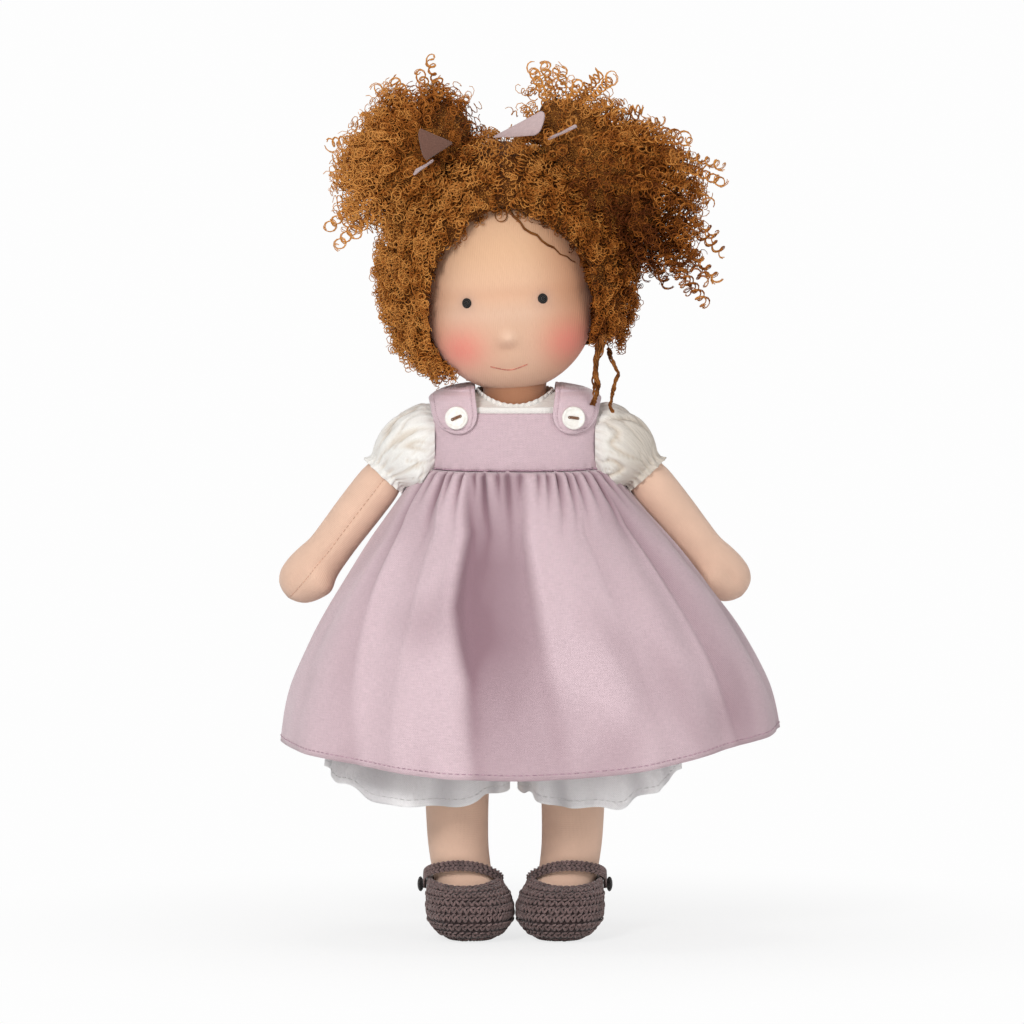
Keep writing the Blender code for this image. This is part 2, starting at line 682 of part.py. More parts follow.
def face_point(across, height, offset):
    """A point that stands off the face by an offset, and the direction it faces."""
    depth = math.sqrt(head_radius(height) ** 2 - across**2)
    stretch = (HEAD_RADIUS / HEAD_TOP) ** 2 if height > 0 else 1
    normal = Vector((across, -depth, height * stretch)).normalized()
    return Vector((across, -depth, height)) + normal * offset, normal


def facing(point, normal):
    """A frame at a point whose Z axis is the normal."""
    return Matrix.Translation(point) @ normal.to_track_quat("Z", "Y").to_matrix().to_4x4()


def make_head():
    skin = add_piece("head_skin", loft("head_skin", head_rings(), open_start=True), "skin", head, head)
    thicken(skin, SKIN_WALL)
    nose_middle, _ = face_point(-FACE_TURN, NOSE_HEIGHT, NOSE_LIFT)
    nose = add_cutter("nose", ellipsoid(nose_middle, NOSE_HALF_SIZES, *SMALL_BALL_COUNTS), head, head)
    core_depth = SKIN_WALL + LAYER_GAP
    core = add_piece("head_core", loft("head_core", head_rings()), "wool", head, head)
    shrink(core, core_depth)
    combine(skin, nose, "UNION")
    flat_depth = HEAD_RADIUS * (1 - math.cos(math.pi / HEAD_SIDES))
    eye_lift = GAP + EYE_THICKNESS / 2 - EYE_LINE_DEPTH - flat_depth
    for side, sign in SIDES.items():
        middle, normal = face_point(sign * EYE_REACH - FACE_TURN, EYE_HEIGHT, eye_lift)
        eye = ellipsoid((0, 0, 0), (EYE_RADIUS, EYE_RADIUS, EYE_THICKNESS / 2), *SMALL_BALL_COUNTS)
        eye.transform(facing(middle, normal))
        add_piece(f"eye_{side}", eye, "eye_thread", head, head)
    points = []
    for step in np.linspace(-1, 1, MOUTH_POINTS):
        across = step * MOUTH_HALF_WIDTH - FACE_TURN
        points.append(face_point(across, MOUTH_HEIGHT + MOUTH_SMILE * step**2, GAP + MOUTH_RADIUS)[0])
    tube("mouth", points, MOUTH_RADIUS, "mouth_thread", head, head)


# Wig
def wig_rings(grown):
    """Rings of the wig's outer volume, grown all round by a clearance."""
    rings = []
    for height, width, depth, back in WIG_SHARES:
        middle = Vector((0, WIG_BACK * back, WIG_HEIGHT * height))
        rings.append(ring(middle, X_AXIS, Y_AXIS, WIG_HALF_WIDTH * width + grown,
                          WIG_HALF_DEPTH * depth + grown, WIG_SIDES))
    for point in rings[0]:
        point.z -= grown
    rings.append([Vector((0, WIG_BACK * WIG_SHARES[-1][3], WIG_HEIGHT + grown))])
    return rings


def prism(name, outline, near, far):
    """A block with an outline in X and Z between two places on Y."""
    ends = [[Vector((x, place_on_y, z)) for x, z in outline] for place_on_y in (near, far)]
    return loft(name, ends)


def make_wig():
    wig = add_piece("wig_cap", loft("wig_cap", wig_rings(0)), "mohair", head, head)
    hollow = loft("wig_hollow", head_rings(GAP, lowest=-HEAD_RADIUS))
    combine(wig, add_cutter("wig_hollow", hollow, head, head), "DIFFERENCE")
    hairline = [(HEAD_RADIUS * across, HEAD_RADIUS * height) for across, height in HAIRLINE_SHARES]
    face_opening = prism("face_opening", hairline, -HAIRLINE_DEPTH, -WIG_HALF_DEPTH - OVERRUN)
    combine(wig, add_cutter("face_opening", face_opening, head, head), "DIFFERENCE")
    grown = add_cutter("wig_clearance", loft("wig_clearance", wig_rings(BUNCH_CLEARANCE)), head, head)
    for side in SIDES:
        bulk = loft(f"hair_bunch_{side}", bunch_rings(side))
        bunch = add_piece(f"hair_bunch_{side}", bulk, "mohair", bunches[side], head)
        combine(bunch, grown, "DIFFERENCE")


def bunch_rings(side):
    """Rings of a hair bunch from its front to its back, each with the fanned outline seen from the front."""
    middle, half_depth = Vector(BUNCH_MIDDLES[side]), BUNCH_HALF_DEPTHS[side]
    reaches = BUNCH_REACHES[side]
    rings = [[middle - Y_AXIS * half_depth]]
    for level in BUNCH_LEVEL_ANGLES:
        share = math.cos(math.radians(level))
        depth = half_depth * math.sin(math.radians(level))
        points = []
        for index, reach in enumerate(reaches):
            turn = math.tau * index / len(reaches)
            points.append(middle + Vector((reach * share * math.cos(turn), depth,
                                           reach * share * math.sin(turn))))
        rings.append(points)
    return rings + [[middle + Y_AXIS * half_depth]]


def bunch_front(side, x, z):
    """How far forward a hair bunch reaches at a place on X and Z, or its middle where it doesn't."""
    middle, reaches = BUNCH_MIDDLES[side], BUNCH_REACHES[side]
    across, up = x - middle[0], z - middle[2]
    place = math.atan2(up, across) / math.tau % 1 * len(reaches)
    reach = np.interp(place, range(len(reaches) + 1), reaches + reaches[:1])
    outside = (across**2 + up**2) / reach**2
    return middle[1] - BUNCH_HALF_DEPTHS[side] * math.sqrt(max(1 - outside, 0))


def make_hair_trim():
    for name, outline in RIBBON_OUTLINES.items():
        side = name.rsplit("_", 1)[1]
        front = min(bunch_front(side, x, z) for x, z in outline) - RIBBON_CLEARANCE - RIBBON_THICKNESS
        plate(name, outline, front, RIBBON_THICKNESS, "mauve_linen", bunches[side], head)
    for name, route in LOCK_ROUTES.items():
        shares = np.linspace(1, LOCK_TIP_SHARE, len(route)).tolist()
        tube(f"side_lock_{name}", route, LOCK_RADII[name], "mohair", head, head, shares)


# Arms and sleeves
def arm_place(side, reach, back, drop):
    """A place on the arm's middle line, from shares of its reach, backward lean and drop."""
    return Vector((SIDES[side] * (SHOULDER_REACH + ARM_REACH * reach), ARM_BACKS[side] * back,
                   SHOULDER_HEIGHT - ARM_DROP * drop))


def limb_ring(row, side, radius, sides):
    """A round section of the arm or its sleeve, from a row of shares."""
    reach, back, drop, slope, radius_share = row
    middle = arm_place(side, reach, back, drop)
    tilt = math.radians(slope)
    outward = Vector((SIDES[side] * math.sin(tilt), 0, math.cos(tilt)))
    return middle, ring(middle, Y_AXIS, outward, radius * radius_share, radius * radius_share, sides)


def swell_thumb(points, middle, reach_share, sign):
    """Pushes a section of the hand out towards the thumb, forward and in to the body."""
    weight = math.exp(-((reach_share - THUMB_SHARE) / THUMB_SPREAD_SHARE) ** 2)
    towards = Vector((-sign * THUMB_INWARD_SHARE, -THUMB_FORWARD_SHARE, -THUMB_DOWN_SHARE)).normalized()
    for point in points:
        spoke = (point - middle).normalized()
        turn = math.acos(min(max(spoke.dot(towards), -1), 1))
        point += spoke * (THUMB_BULGE * weight * math.exp(-((turn / THUMB_ANGLE) ** 2)))


def make_arm(side, sign):
    rings = []
    for row in ARM_SHARES:
        middle, points = limb_ring(row, side, ARM_RADIUS, ARM_SIDES)
        swell_thumb(points, middle, row[0], sign)
        rings.append(points)
    rings.append([arm_place(side, 1, 1, 1)])
    skin = loft(f"arm_skin_{side}", rings, open_start=True)
    thicken(add_piece(f"arm_skin_{side}", skin, "skin", arms[side]), SKIN_WALL)
    stuffing = loft(f"arm_stuffing_{side}", rings)
    shrink(add_piece(f"arm_stuffing_{side}", stuffing, "wool", arms[side]), SKIN_WALL + LAYER_GAP)


def make_sleeve(side):
    rings = [limb_ring(row, side, SLEEVE_RADIUS, SLEEVE_SIDES)[1] for row in SLEEVE_SHARES]
    sleeve = loft(f"sleeve_{side}", rings, open_start=True, open_end=True)
    thicken(add_piece(f"sleeve_{side}", sleeve, "white_cotton", arms[side]), SLEEVE_WALL)
    row = ARM_SHARES[SLEEVE_ELASTIC_ROW]
    middle, points = limb_ring(row, side, ARM_RADIUS, SLEEVE_SIDES)
    band_radius = ARM_RADIUS * row[-1] + LAYER_GAP + SLEEVE_ELASTIC_RADIUS
    rounds = [middle + (point - middle).normalized() * band_radius for point in points]
    shape = bmesh.new()
    levels = []
    for point in rounds:
        spoke = (point - middle).normalized()
        normal = (rounds[1] - middle).cross(rounds[0] - middle).normalized()
        section = ring(point, spoke, normal, SLEEVE_ELASTIC_RADIUS, SLEEVE_ELASTIC_RADIUS,
                       ELASTIC_CORD_SIDES)
        levels.append([shape.verts.new(corner) for corner in section])
    for lower, upper in zip(levels, levels[1:] + levels[:1]):
        for index in range(len(lower)):
            after = (index + 1) % len(lower)
            shape.faces.new((lower[index], lower[after], upper[after], upper[index]))
    bmesh.ops.recalc_face_normals(shape, faces=shape.faces)
    name = f"sleeve_elastic_{side}"
    add_piece(name, mesh_from(shape, name), "elastic", arms[side])


# Legs and shoes
def leg_rings(sign):
    ankle_rise = ANKLE_HEIGHT - SOLE_THICKNESS
    top = HIP_HEIGHT - HIP_SEAM_RADIUS - LAYER_GAP
    middle = Vector((sign * LEG_REACH * LEG_TOP_REACH_SHARE, 0, top))
    rings = [ring(middle, X_AXIS, Y_AXIS, LEG_RADIUS * LEG_TOP_WIDTH_SHARE, LEG_TOP_HALF_DEPTH, LEG_SIDES)]
    for reach, rise, width, depth in LEG_SHARES:
        back = LEG_BACK * (1 - rise)
        middle = Vector((sign * LEG_REACH * reach, back, ANKLE_HEIGHT + (HIP_HEIGHT - ANKLE_HEIGHT) * rise))
        rings.append(ring(middle, X_AXIS, Y_AXIS, LEG_RADIUS * width, LEG_RADIUS * depth, LEG_SIDES))
    for reach, forward, rise, slope, width, depth in FOOT_SHARES:
        height = SOLE_THICKNESS + ankle_rise * rise
        middle = Vector((sign * LEG_REACH * reach, -FOOT_LENGTH * forward, height))
        tilt = math.radians(slope)
        backward = Vector((0, math.cos(tilt), -math.sin(tilt)))
        rings.append(ring(middle, X_AXIS, backward, LEG_RADIUS * width, ankle_rise * depth, LEG_SIDES))
    reach, forward, rise = TOE_TIP_SHARES
    tip = Vector((sign * LEG_REACH * reach, -FOOT_LENGTH * forward, SOLE_THICKNESS + ankle_rise * rise))
    return rings + [[tip]]


def make_leg(side, sign):
    skin = loft(f"leg_skin_{side}", leg_rings(sign), open_start=True)
    thicken(add_piece(f"leg_skin_{side}", skin, "skin", legs[side]), SKIN_WALL)
    stuffing = loft(f"leg_stuffing_{side}", leg_rings(sign)[1:])
    shrink(add_piece(f"leg_stuffing_{side}", stuffing, "wool", legs[side]), SKIN_WALL + LAYER_GAP)


def shoe_ring(row, sign, inset=0.0, drop_to=None):
    """A level outline of the shoe, from a row of shares."""
    rise, reach, width, toe, heel = row
    front, rear = -SHOE_TOE * toe + inset, SHOE_HEEL * heel - inset
    height = SOLE_THICKNESS + GAP + SHOE_RIM_RISE * rise if drop_to is None else drop_to
    middle = Vector((sign * LEG_REACH * reach, (front + rear) / 2, height))
    return ring(middle, X_AXIS, Y_AXIS, SHOE_HALF_WIDTH * width - inset, (rear - front) / 2, SHOE_SIDES,
                SHOE_POWER)


def make_shoe(side, sign):
    rings = [shoe_ring(row, sign) for row in SHOE_SHARES]
    upper = loft(f"shoe_upper_{side}", rings, open_start=True, open_end=True)
    thicken(add_piece(f"shoe_upper_{side}", upper, "crochet", legs[side]), SHOE_WALL)
    outline = [shoe_ring(SHOE_SHARES[0], sign, -SOLE_INSET / 2, height) for height in (0, SOLE_THICKNESS)]
    add_piece(f"shoe_sole_{side}", loft(f"shoe_sole_{side}", outline), "crochet", legs[side])
    ankle = Vector((sign * LEG_REACH * SHOE_SHARES[-1][1], LEG_BACK / 2, 0))
    sections = []
    for turn, rise, radius in zip(SHOE_STRAP_TURN_SHARES, SHOE_STRAP_RISE_SHARES, SHOE_STRAP_RADIUS_SHARES):
        spoke = Vector((sign * math.cos(turn * math.pi), -math.sin(turn * math.pi), 0))
        height = SHOE_STRAP_LOW + (SHOE_STRAP_HIGH - SHOE_STRAP_LOW) * rise
        middle = ankle + spoke * (SHOE_STRAP_RADIUS * radius) + Z_AXIS * height
        sections.append(ring(middle, spoke, Z_AXIS, SHOE_STRAP_HALF_THICKNESS, SHOE_STRAP_HALF_HEIGHT,
                             SHOE_STRAP_SIDES, SHOE_STRAP_POWER))
    add_piece(f"shoe_strap_{side}", loft(f"shoe_strap_{side}", sections), "crochet", legs[side])
    reach = ankle.x * sign + SHOE_STRAP_RADIUS * SHOE_STRAP_RADIUS_SHARES[0] + SHOE_STRAP_HALF_THICKNESS
    seat = Vector((sign * (reach + GAP), ankle.y, SHOE_STRAP_LOW))
    levels = button_levels(SHOE_BUTTON_PROFILE_SHARES, SHOE_BUTTON_RADIUS, SHOE_BUTTON_THICKNESS,
                           SHOE_BUTTON_SIDES)
    button = loft(f"shoe_button_{side}", levels)
    button.transform(facing(seat, X_AXIS * sign))
    add_piece(f"shoe_button_{side}", button, "black_button", legs[side])


# Bloomers
def make_bloomers_seat():
    top = WAIST_HEIGHT - SEAT_TOP_DROP
    bottom = HIP_HEIGHT - SEAT_DROP
    half_width, half_depth = torso_half_sizes(top, SEAT_EASE)
    rings = [ring(Z_AXIS * top, X_AXIS, Y_AXIS, half_width, half_depth, TORSO_SIDES, TORSO_POWER)]
    for rise, width, depth in SEAT_SHARES:
        rings.append(ring(Z_AXIS * (bottom + (top - bottom) * rise), X_AXIS, Y_AXIS,
                          SEAT_HALF_WIDTH * width, SEAT_HALF_DEPTH * depth, TORSO_SIDES, TORSO_POWER))
    seat = loft("bloomers_seat", rings, open_start=True, open_end=True)
    thicken(add_piece("bloomers_seat", seat, "white_cotton", hips), BLOOMERS_WALL)
    band = []
    outer = SEAT_EASE - BLOOMERS_WALL - LAYER_GAP
    for height in (top - WAIST_ELASTIC_DROP - WAIST_ELASTIC_HEIGHT, top - WAIST_ELASTIC_DROP):
        band.append(torso_ring(height, outer))
    elastic = loft("bloomers_waist_elastic", band, open_start=True, open_end=True)
    thicken(add_piece("bloomers_waist_elastic", elastic, "elastic", doll), outer - LAYER_GAP)


def make_bloomers_leg(side, sign):
    top_middle = LEG_REACH * BLOOMERS_TOP_MIDDLE_SHARE
    hem_reach = BLOOMERS_HEM_REACHES[side]
    hem_middle = (hem_reach + BLOOMERS_HEM_INNER) / 2
    hem_half_width = (hem_reach - BLOOMERS_HEM_INNER) / 2
    rings = []
    for share in BLOOMERS_SPLIT_SHARES:
        flare = math.sin(share * math.pi / 2)
        middle_x = top_middle + (hem_middle - top_middle) * flare
        half_width = BLOOMERS_TOP_RADIUS + (hem_half_width - BLOOMERS_TOP_RADIUS) * flare
        half_depth = BLOOMERS_TOP_RADIUS + (BLOOMERS_HEM_HALF_DEPTH - BLOOMERS_TOP_RADIUS) * flare
        points = []
        for index in range(BLOOMERS_SIDES):
            turn = math.tau * index / BLOOMERS_SIDES
            fold = BLOOMERS_FOLD_DEPTH * share * (math.cos(BLOOMERS_FOLDS * turn) - 1)
            across, back = math.cos(turn), math.sin(turn)
            rise = BLOOMERS_OUTER_RISE if across > 0 else BLOOMERS_INNER_RISE
            height = HIP_HEIGHT - BLOOMERS_TOP_DROP - share * (BLOOMERS_DROP - rise * across**2)
            points.append(Vector((sign * (middle_x + across * (half_width + fold)),
                                  back * (half_depth + fold), height)))
        rings.append(points)
    name = f"bloomers_leg_{side}"
    leg = loft(name, rings, open_start=True, open_end=True)
    thicken(add_piece(name, leg, "white_cotton", legs[side]), BLOOMERS_WALL)


# Blouse
def make_blouse():
    offset = LAYER_GAP + BLOUSE_WALL
    heights = [WAIST_HEIGHT - BLOUSE_TAIL, WAIST_HEIGHT]
    heights += [lifted_height(shares[0], offset) for shares in TORSO_SHARES[7:]]
    rings = [torso_ring(height, offset) for height in heights]
    rings.append(neck_ring(NECK_CLEARANCE + offset, NECK_HOLE_RADIUS))
    blouse = loft("blouse_body", rings, open_start=True, open_end=True)
    blouse = add_piece("blouse_body", blouse, "white_cotton", doll)
    thicken(blouse, BLOUSE_WALL)
    reach = TORSO_HALF_WIDTH + OVERRUN
    ends = [ring(Vector((end * reach, 0, SHOULDER_HEIGHT)), Y_AXIS, Z_AXIS, ARMHOLE_RADIUS, ARMHOLE_RADIUS,
                 ARMHOLE_SIDES) for end in (-1, 1)]
    combine(blouse, add_cutter("armholes", loft("armholes", ends), doll), "DIFFERENCE")
    low = NECK_CLEARANCE + offset + GAP
    radius = NECK_HOLE_RADIUS + NECKBAND_WALL
    band = loft("blouse_neckband", [neck_ring(low, radius), neck_ring(low + NECKBAND_HEIGHT, radius)],
                open_start=True, open_end=True)
    thicken(add_piece("blouse_neckband", band, "white_cotton", doll), NECKBAND_WALL)


# Dress
BODICE_OFFSET = LAYER_GAP * 2 + BLOUSE_WALL + DRESS_WALL


def bodice_rise(point_share):
    """How high the bodice reaches: full at front and back, low under the arms."""
    fullness = min(abs(point_share) * ARM_OPENING_SPREAD, 1) ** 2
    return ARM_OPENING_RISE + (BODICE_RISE - ARM_OPENING_RISE) * fullness


def make_bodice():
    rings = []
    for share in BODICE_RISE_SHARES:
        points = []
        for index in range(TORSO_SIDES):
            turn = math.tau * index / TORSO_SIDES
            height = WAIST_HEIGHT + share * bodice_rise(math.sin(turn))
            half_width, half_depth = torso_half_sizes(height, BODICE_OFFSET)
            level = ring(Z_AXIS * height, X_AXIS, Y_AXIS, half_width, half_depth, TORSO_SIDES, TORSO_POWER)
            points.append(level[index])
        rings.append(points)
    bodice = loft("dress_bodice", rings, open_start=True, open_end=True)
    thicken(add_piece("dress_bodice", bodice, "mauve_linen", doll), DRESS_WALL)


def skirt_fold(share, degrees):
    """How far the soft folds push the skirt out at a share of its drop and a turn in degrees."""
    push = 0
    for waist_turn, hem_turn, depth, spread, start in SKIRT_FOLDS:
        away = degrees - waist_turn - (hem_turn - waist_turn) * share
        away = (away + 180) % 360 - 180
        growth = min(max((share - start) / SKIRT_FOLD_GROWTH, 0), 1)
        push += depth * math.sin(growth * math.pi / 2) * math.exp(-(away / spread) ** 2)
    return push


def skirt_point(share, turn):
    """A point of the skirt's outside: a share of the way from waist to hem, at a turn about Z."""
    across, back = math.cos(turn), math.sin(turn)
    side = "left" if across > 0 else "right"
    drop = SKIRT_FRONT_DROP + (SKIRT_SIDE_DROPS[side] - SKIRT_FRONT_DROP) * across**2
    flare = SKIRT_ROUNDING_SHARE * math.sin(share * math.pi / 2) + (1 - SKIRT_ROUNDING_SHARE) * share
    fold = skirt_fold(share, math.degrees(turn))
    power = np.interp(share, SKIRT_POWER_SHARES, SKIRT_POWERS)
    half_width = SKIRT_WAIST_HALF_WIDTH + SKIRT_FLARES[side] * flare + fold
    half_depth = SKIRT_WAIST_HALF_DEPTH + SKIRT_DEPTH_FLARE * flare + fold
    forward = SKIRT_FLANK_FORWARD * flare * across**2
    return Vector((math.copysign(abs(across) ** (2 / power), across) * half_width,
                   math.copysign(abs(back) ** (2 / power), back) * half_depth - forward,
                   WAIST_HEIGHT - GAP - share * drop))


def make_skirt():
    rings = [[skirt_point(share, math.tau * index / SKIRT_SIDES) for index in range(SKIRT_SIDES)]
             for share in SKIRT_SPLIT_SHARES]
    skirt = loft("skirt", rings, open_start=True, open_end=True)
    thicken(add_piece("skirt", skirt, "mauve_linen", doll), DRESS_WALL)


def shoulder_top(across, offset):
    """Height at which the shoulder's slope, grown by an offset, is as wide as a place on X."""
    height_shares, width_shares, _ = zip(*TORSO_SHARES[8:])
    widths = [TORSO_HALF_WIDTH * share + offset for share in width_shares] + [NECK_HOLE_RADIUS + offset]
    heights = [torso_height(share) + offset for share in height_shares] + [NECK_HEIGHT + offset]
    return np.interp(across, widths[::-1], heights[::-1])


def strap_point(across, travel):
    """A point of a strap's outside: travel runs from -1 at its front end to 1 at its back end."""
    lowest = WAIST_HEIGHT + (STRAP_LOW_RISE if travel < 0 else STRAP_BACK_RISE)
    climb = math.sin((1 - abs(travel)) * math.pi / 2)
    near = BODICE_OFFSET + LAYER_GAP + STRAP_THICKNESS
    offset = near + (BLOUSE_WALL - BODICE_OFFSET + LAYER_GAP * 2) * climb**4
    height = lowest + (shoulder_top(across, offset) - lowest) * climb
    half_width, half_depth = torso_half_sizes(min(height, shoulder_top(across, offset)), offset)
    depth = half_depth * max(1 - (across / half_width) ** TORSO_POWER, 0) ** (1 / TORSO_POWER)
    return Vector((across, math.copysign(depth, travel), height))


def strap_travel(rise):
    """The travel at which the front of a strap has risen by a length from its end."""
    lowest = WAIST_HEIGHT + STRAP_LOW_RISE
    near = BODICE_OFFSET + LAYER_GAP + STRAP_THICKNESS
    return 2 / math.pi * math.asin(rise / (shoulder_top(STRAP_MIDDLE, near) - lowest)) - 1


def make_strap(side, sign):
    radius = STRAP_WIDTH / 2
    widths = [(strap_travel(radius * (1 - math.cos(math.radians(angle)))),
               radius * math.sin(math.radians(angle))) for angle in STRAP_ROUND_ANGLES]
    widths += [(travel, radius) for travel in np.linspace(widths[-1][0], 1, STRAP_ROWS)[1:]]
    rows = []
    for travel, half_width in widths:
        middle = STRAP_SHOULDER_MIDDLE + (STRAP_MIDDLE - STRAP_SHOULDER_MIDDLE) * travel**2
        rows.append([(middle + half_width * place_share, travel)
                     for place_share in np.linspace(-1, 1, STRAP_COLUMNS)])
    shape = bmesh.new()
    grid = [[shape.verts.new(strap_point(x, travel)) for x, travel in row] for row in rows]
    for near, far in zip(grid, grid[1:]):
        for index in range(STRAP_COLUMNS - 1):
            shape.faces.new((near[index], near[index + 1], far[index + 1], far[index]))
    for vert in shape.verts:
        vert.co.x *= sign
    shape.normal_update()
    shape.faces.ensure_lookup_table()
    if shape.faces[len(shape.faces) // 2].normal.z < 0:
        bmesh.ops.reverse_faces(shape, faces=shape.faces)
    name = f"strap_{side}"
    strap = add_piece(name, mesh_from(shape, name), "mauve_linen", doll)
    thicken(strap, STRAP_THICKNESS)


def make_strap_button(side, sign):
    travel = strap_travel(STRAP_BUTTON_RISE - STRAP_LOW_RISE)
    seat = strap_point(STRAP_MIDDLE, travel)
    along = strap_point(STRAP_MIDDLE, travel + PROBE_SHARE) - seat
    across = strap_point(STRAP_MIDDLE * (1 + PROBE_SHARE), travel) - seat
    normal = across.cross(along).normalized()
    seat.x *= sign
    normal.x *= sign
    normal *= -math.copysign(1, normal.y)
    frame = facing(seat + normal * GAP, normal) @ Matrix.Rotation(BUTTON_SLANTS[side], 4, "Z")
    levels = button_levels(BUTTON_PROFILE_SHARES, STRAP_BUTTON_RADIUS, STRAP_BUTTON_THICKNESS,
                           STRAP_BUTTON_SIDES)
    shape = loft(f"strap_button_{side}", levels)
    shape.transform(frame)
    button = add_piece(f"strap_button_{side}", shape, "button", doll)
    for end in (-1, 1):
        hole_ends = [ring(Vector((end * BUTTON_HOLE_REACH, 0, height)), X_AXIS, Y_AXIS, BUTTON_HOLE_RADIUS,
                          BUTTON_HOLE_RADIUS, BUTTON_HOLE_SIDES)
                     for height in (-STRAP_BUTTON_THICKNESS, 2 * STRAP_BUTTON_THICKNESS)]
        hole = loft("button_hole", hole_ends)
        hole.transform(frame)
        combine(button, add_cutter(f"button_hole_{side}", hole, doll), "DIFFERENCE")
    bar = STRAP_BUTTON_THICKNESS * BUTTON_PROFILE_SHARES[-1][1] + GAP + THREAD_RADIUS
    points = [frame @ Vector((BUTTON_HOLE_REACH * end, 0, GAP + (bar - GAP) * rise))
              for end, rise in THREAD_ROUTE_SHARES]
    tube(f"button_thread_{side}", points, THREAD_RADIUS, "brown_thread", doll, doll)


make_torso()
make_neck()
make_head()
make_wig()
make_hair_trim()
make_bloomers_seat()
make_blouse()
make_bodice()
make_skirt()
for side, sign in SIDES.items():
    make_arm(side, sign)
    make_sleeve(side)
    make_leg(side, sign)
    make_shoe(side, sign)
    make_bloomers_leg(side, sign)
    make_strap(side, sign)
    make_strap_button(side, sign)
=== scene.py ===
"""The looks of a waldorf doll: knit skin, mohair curls, linen pinafore, cotton puffs and crocheted shoes.

Metres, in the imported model's frame: +Z is up and the doll faces -Y. Left and right are the doll's own.
"""

import math
import random

import bmesh
import bpy
import numpy as np
from mathutils import Matrix, Vector, noise


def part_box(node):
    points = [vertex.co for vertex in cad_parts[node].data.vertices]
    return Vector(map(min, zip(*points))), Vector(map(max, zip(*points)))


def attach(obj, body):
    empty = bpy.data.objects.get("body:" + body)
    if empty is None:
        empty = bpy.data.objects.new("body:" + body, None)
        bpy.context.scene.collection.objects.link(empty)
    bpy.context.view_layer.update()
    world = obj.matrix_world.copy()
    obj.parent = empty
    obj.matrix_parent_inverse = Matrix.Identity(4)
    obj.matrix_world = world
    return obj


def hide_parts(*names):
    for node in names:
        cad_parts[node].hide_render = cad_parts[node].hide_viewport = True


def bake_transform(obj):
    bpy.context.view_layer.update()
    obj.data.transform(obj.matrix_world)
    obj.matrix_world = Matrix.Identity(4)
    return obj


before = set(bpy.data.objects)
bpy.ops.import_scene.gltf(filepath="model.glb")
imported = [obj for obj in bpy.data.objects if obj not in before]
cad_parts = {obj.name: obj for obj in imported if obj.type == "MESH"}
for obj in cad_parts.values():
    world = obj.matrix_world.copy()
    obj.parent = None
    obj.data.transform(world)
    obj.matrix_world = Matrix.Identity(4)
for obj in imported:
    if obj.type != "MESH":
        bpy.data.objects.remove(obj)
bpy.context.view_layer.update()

X_AXIS = Vector((1, 0, 0))
Y_AXIS = Vector((0, 1, 0))
Z_AXIS = Vector((0, 0, 1))
SIDES = {"right": -1, "left": 1}
WELD = 0.000005

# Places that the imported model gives
BODY_MIDDLE = -0.00705
HIP_HEIGHT = 0.1465
TRUNK_LENGTH = 0.110
NECK_HEIGHT = HIP_HEIGHT + TRUNK_LENGTH
SHOULDER_HEIGHT = NECK_HEIGHT - 0.0135
WAIST_HEIGHT = NECK_HEIGHT - 0.0345
HEAD_LEAN = math.radians(3.8)
HEAD_RISE = 0.0439
HEAD_RADIUS = 0.041
HEAD_TOP = 0.063
HEAD_LOW = 0.0428
BODY = Matrix.Translation((BODY_MIDDLE, 0, 0))
NECK = BODY @ Matrix.Translation((0, 0, NECK_HEIGHT)) @ Matrix.Rotation(-HEAD_LEAN, 4, "Y")
HEAD = NECK @ Matrix.Translation((0, 0, HEAD_RISE))


def body_point(x, y, z):
    return BODY @ Vector((x, y, z))


# Finishes
class Value:
    """A shader socket that takes part in Python arithmetic."""

    def __init__(self, finish, socket):
        self.finish = finish
        self.socket = socket

    def math(self, operation, *values):
        inputs = dict(enumerate(values))
        return self.finish.node("ShaderNodeMath", {"operation": operation}, inputs)

    def __add__(self, other):
        return self.math("ADD", self, other)

    def __sub__(self, other):
        return self.math("SUBTRACT", self, other)

    def __rsub__(self, other):
        return self.math("SUBTRACT", other, self)

    def __mul__(self, other):
        return self.math("MULTIPLY", self, other)

    def __truediv__(self, other):
        return self.math("DIVIDE", self, other)

    def __pow__(self, other):
        return self.math("POWER", self, other)

    __radd__ = __add__
    __rmul__ = __mul__

    def sine(self):
        return self.math("SINE", self)

    def bell(self):
        """1 where this value is 0, falling off smoothly on both sides."""
        return self.math("EXPONENT", self * self * -1.0)

    def between(self, low, high):
        """0 below low and 1 above high, with a smooth step between."""
        return self.finish.node("ShaderNodeMapRange", {"interpolation_type": "SMOOTHSTEP"},
                                {"Value": self, "From Min": low, "From Max": high})


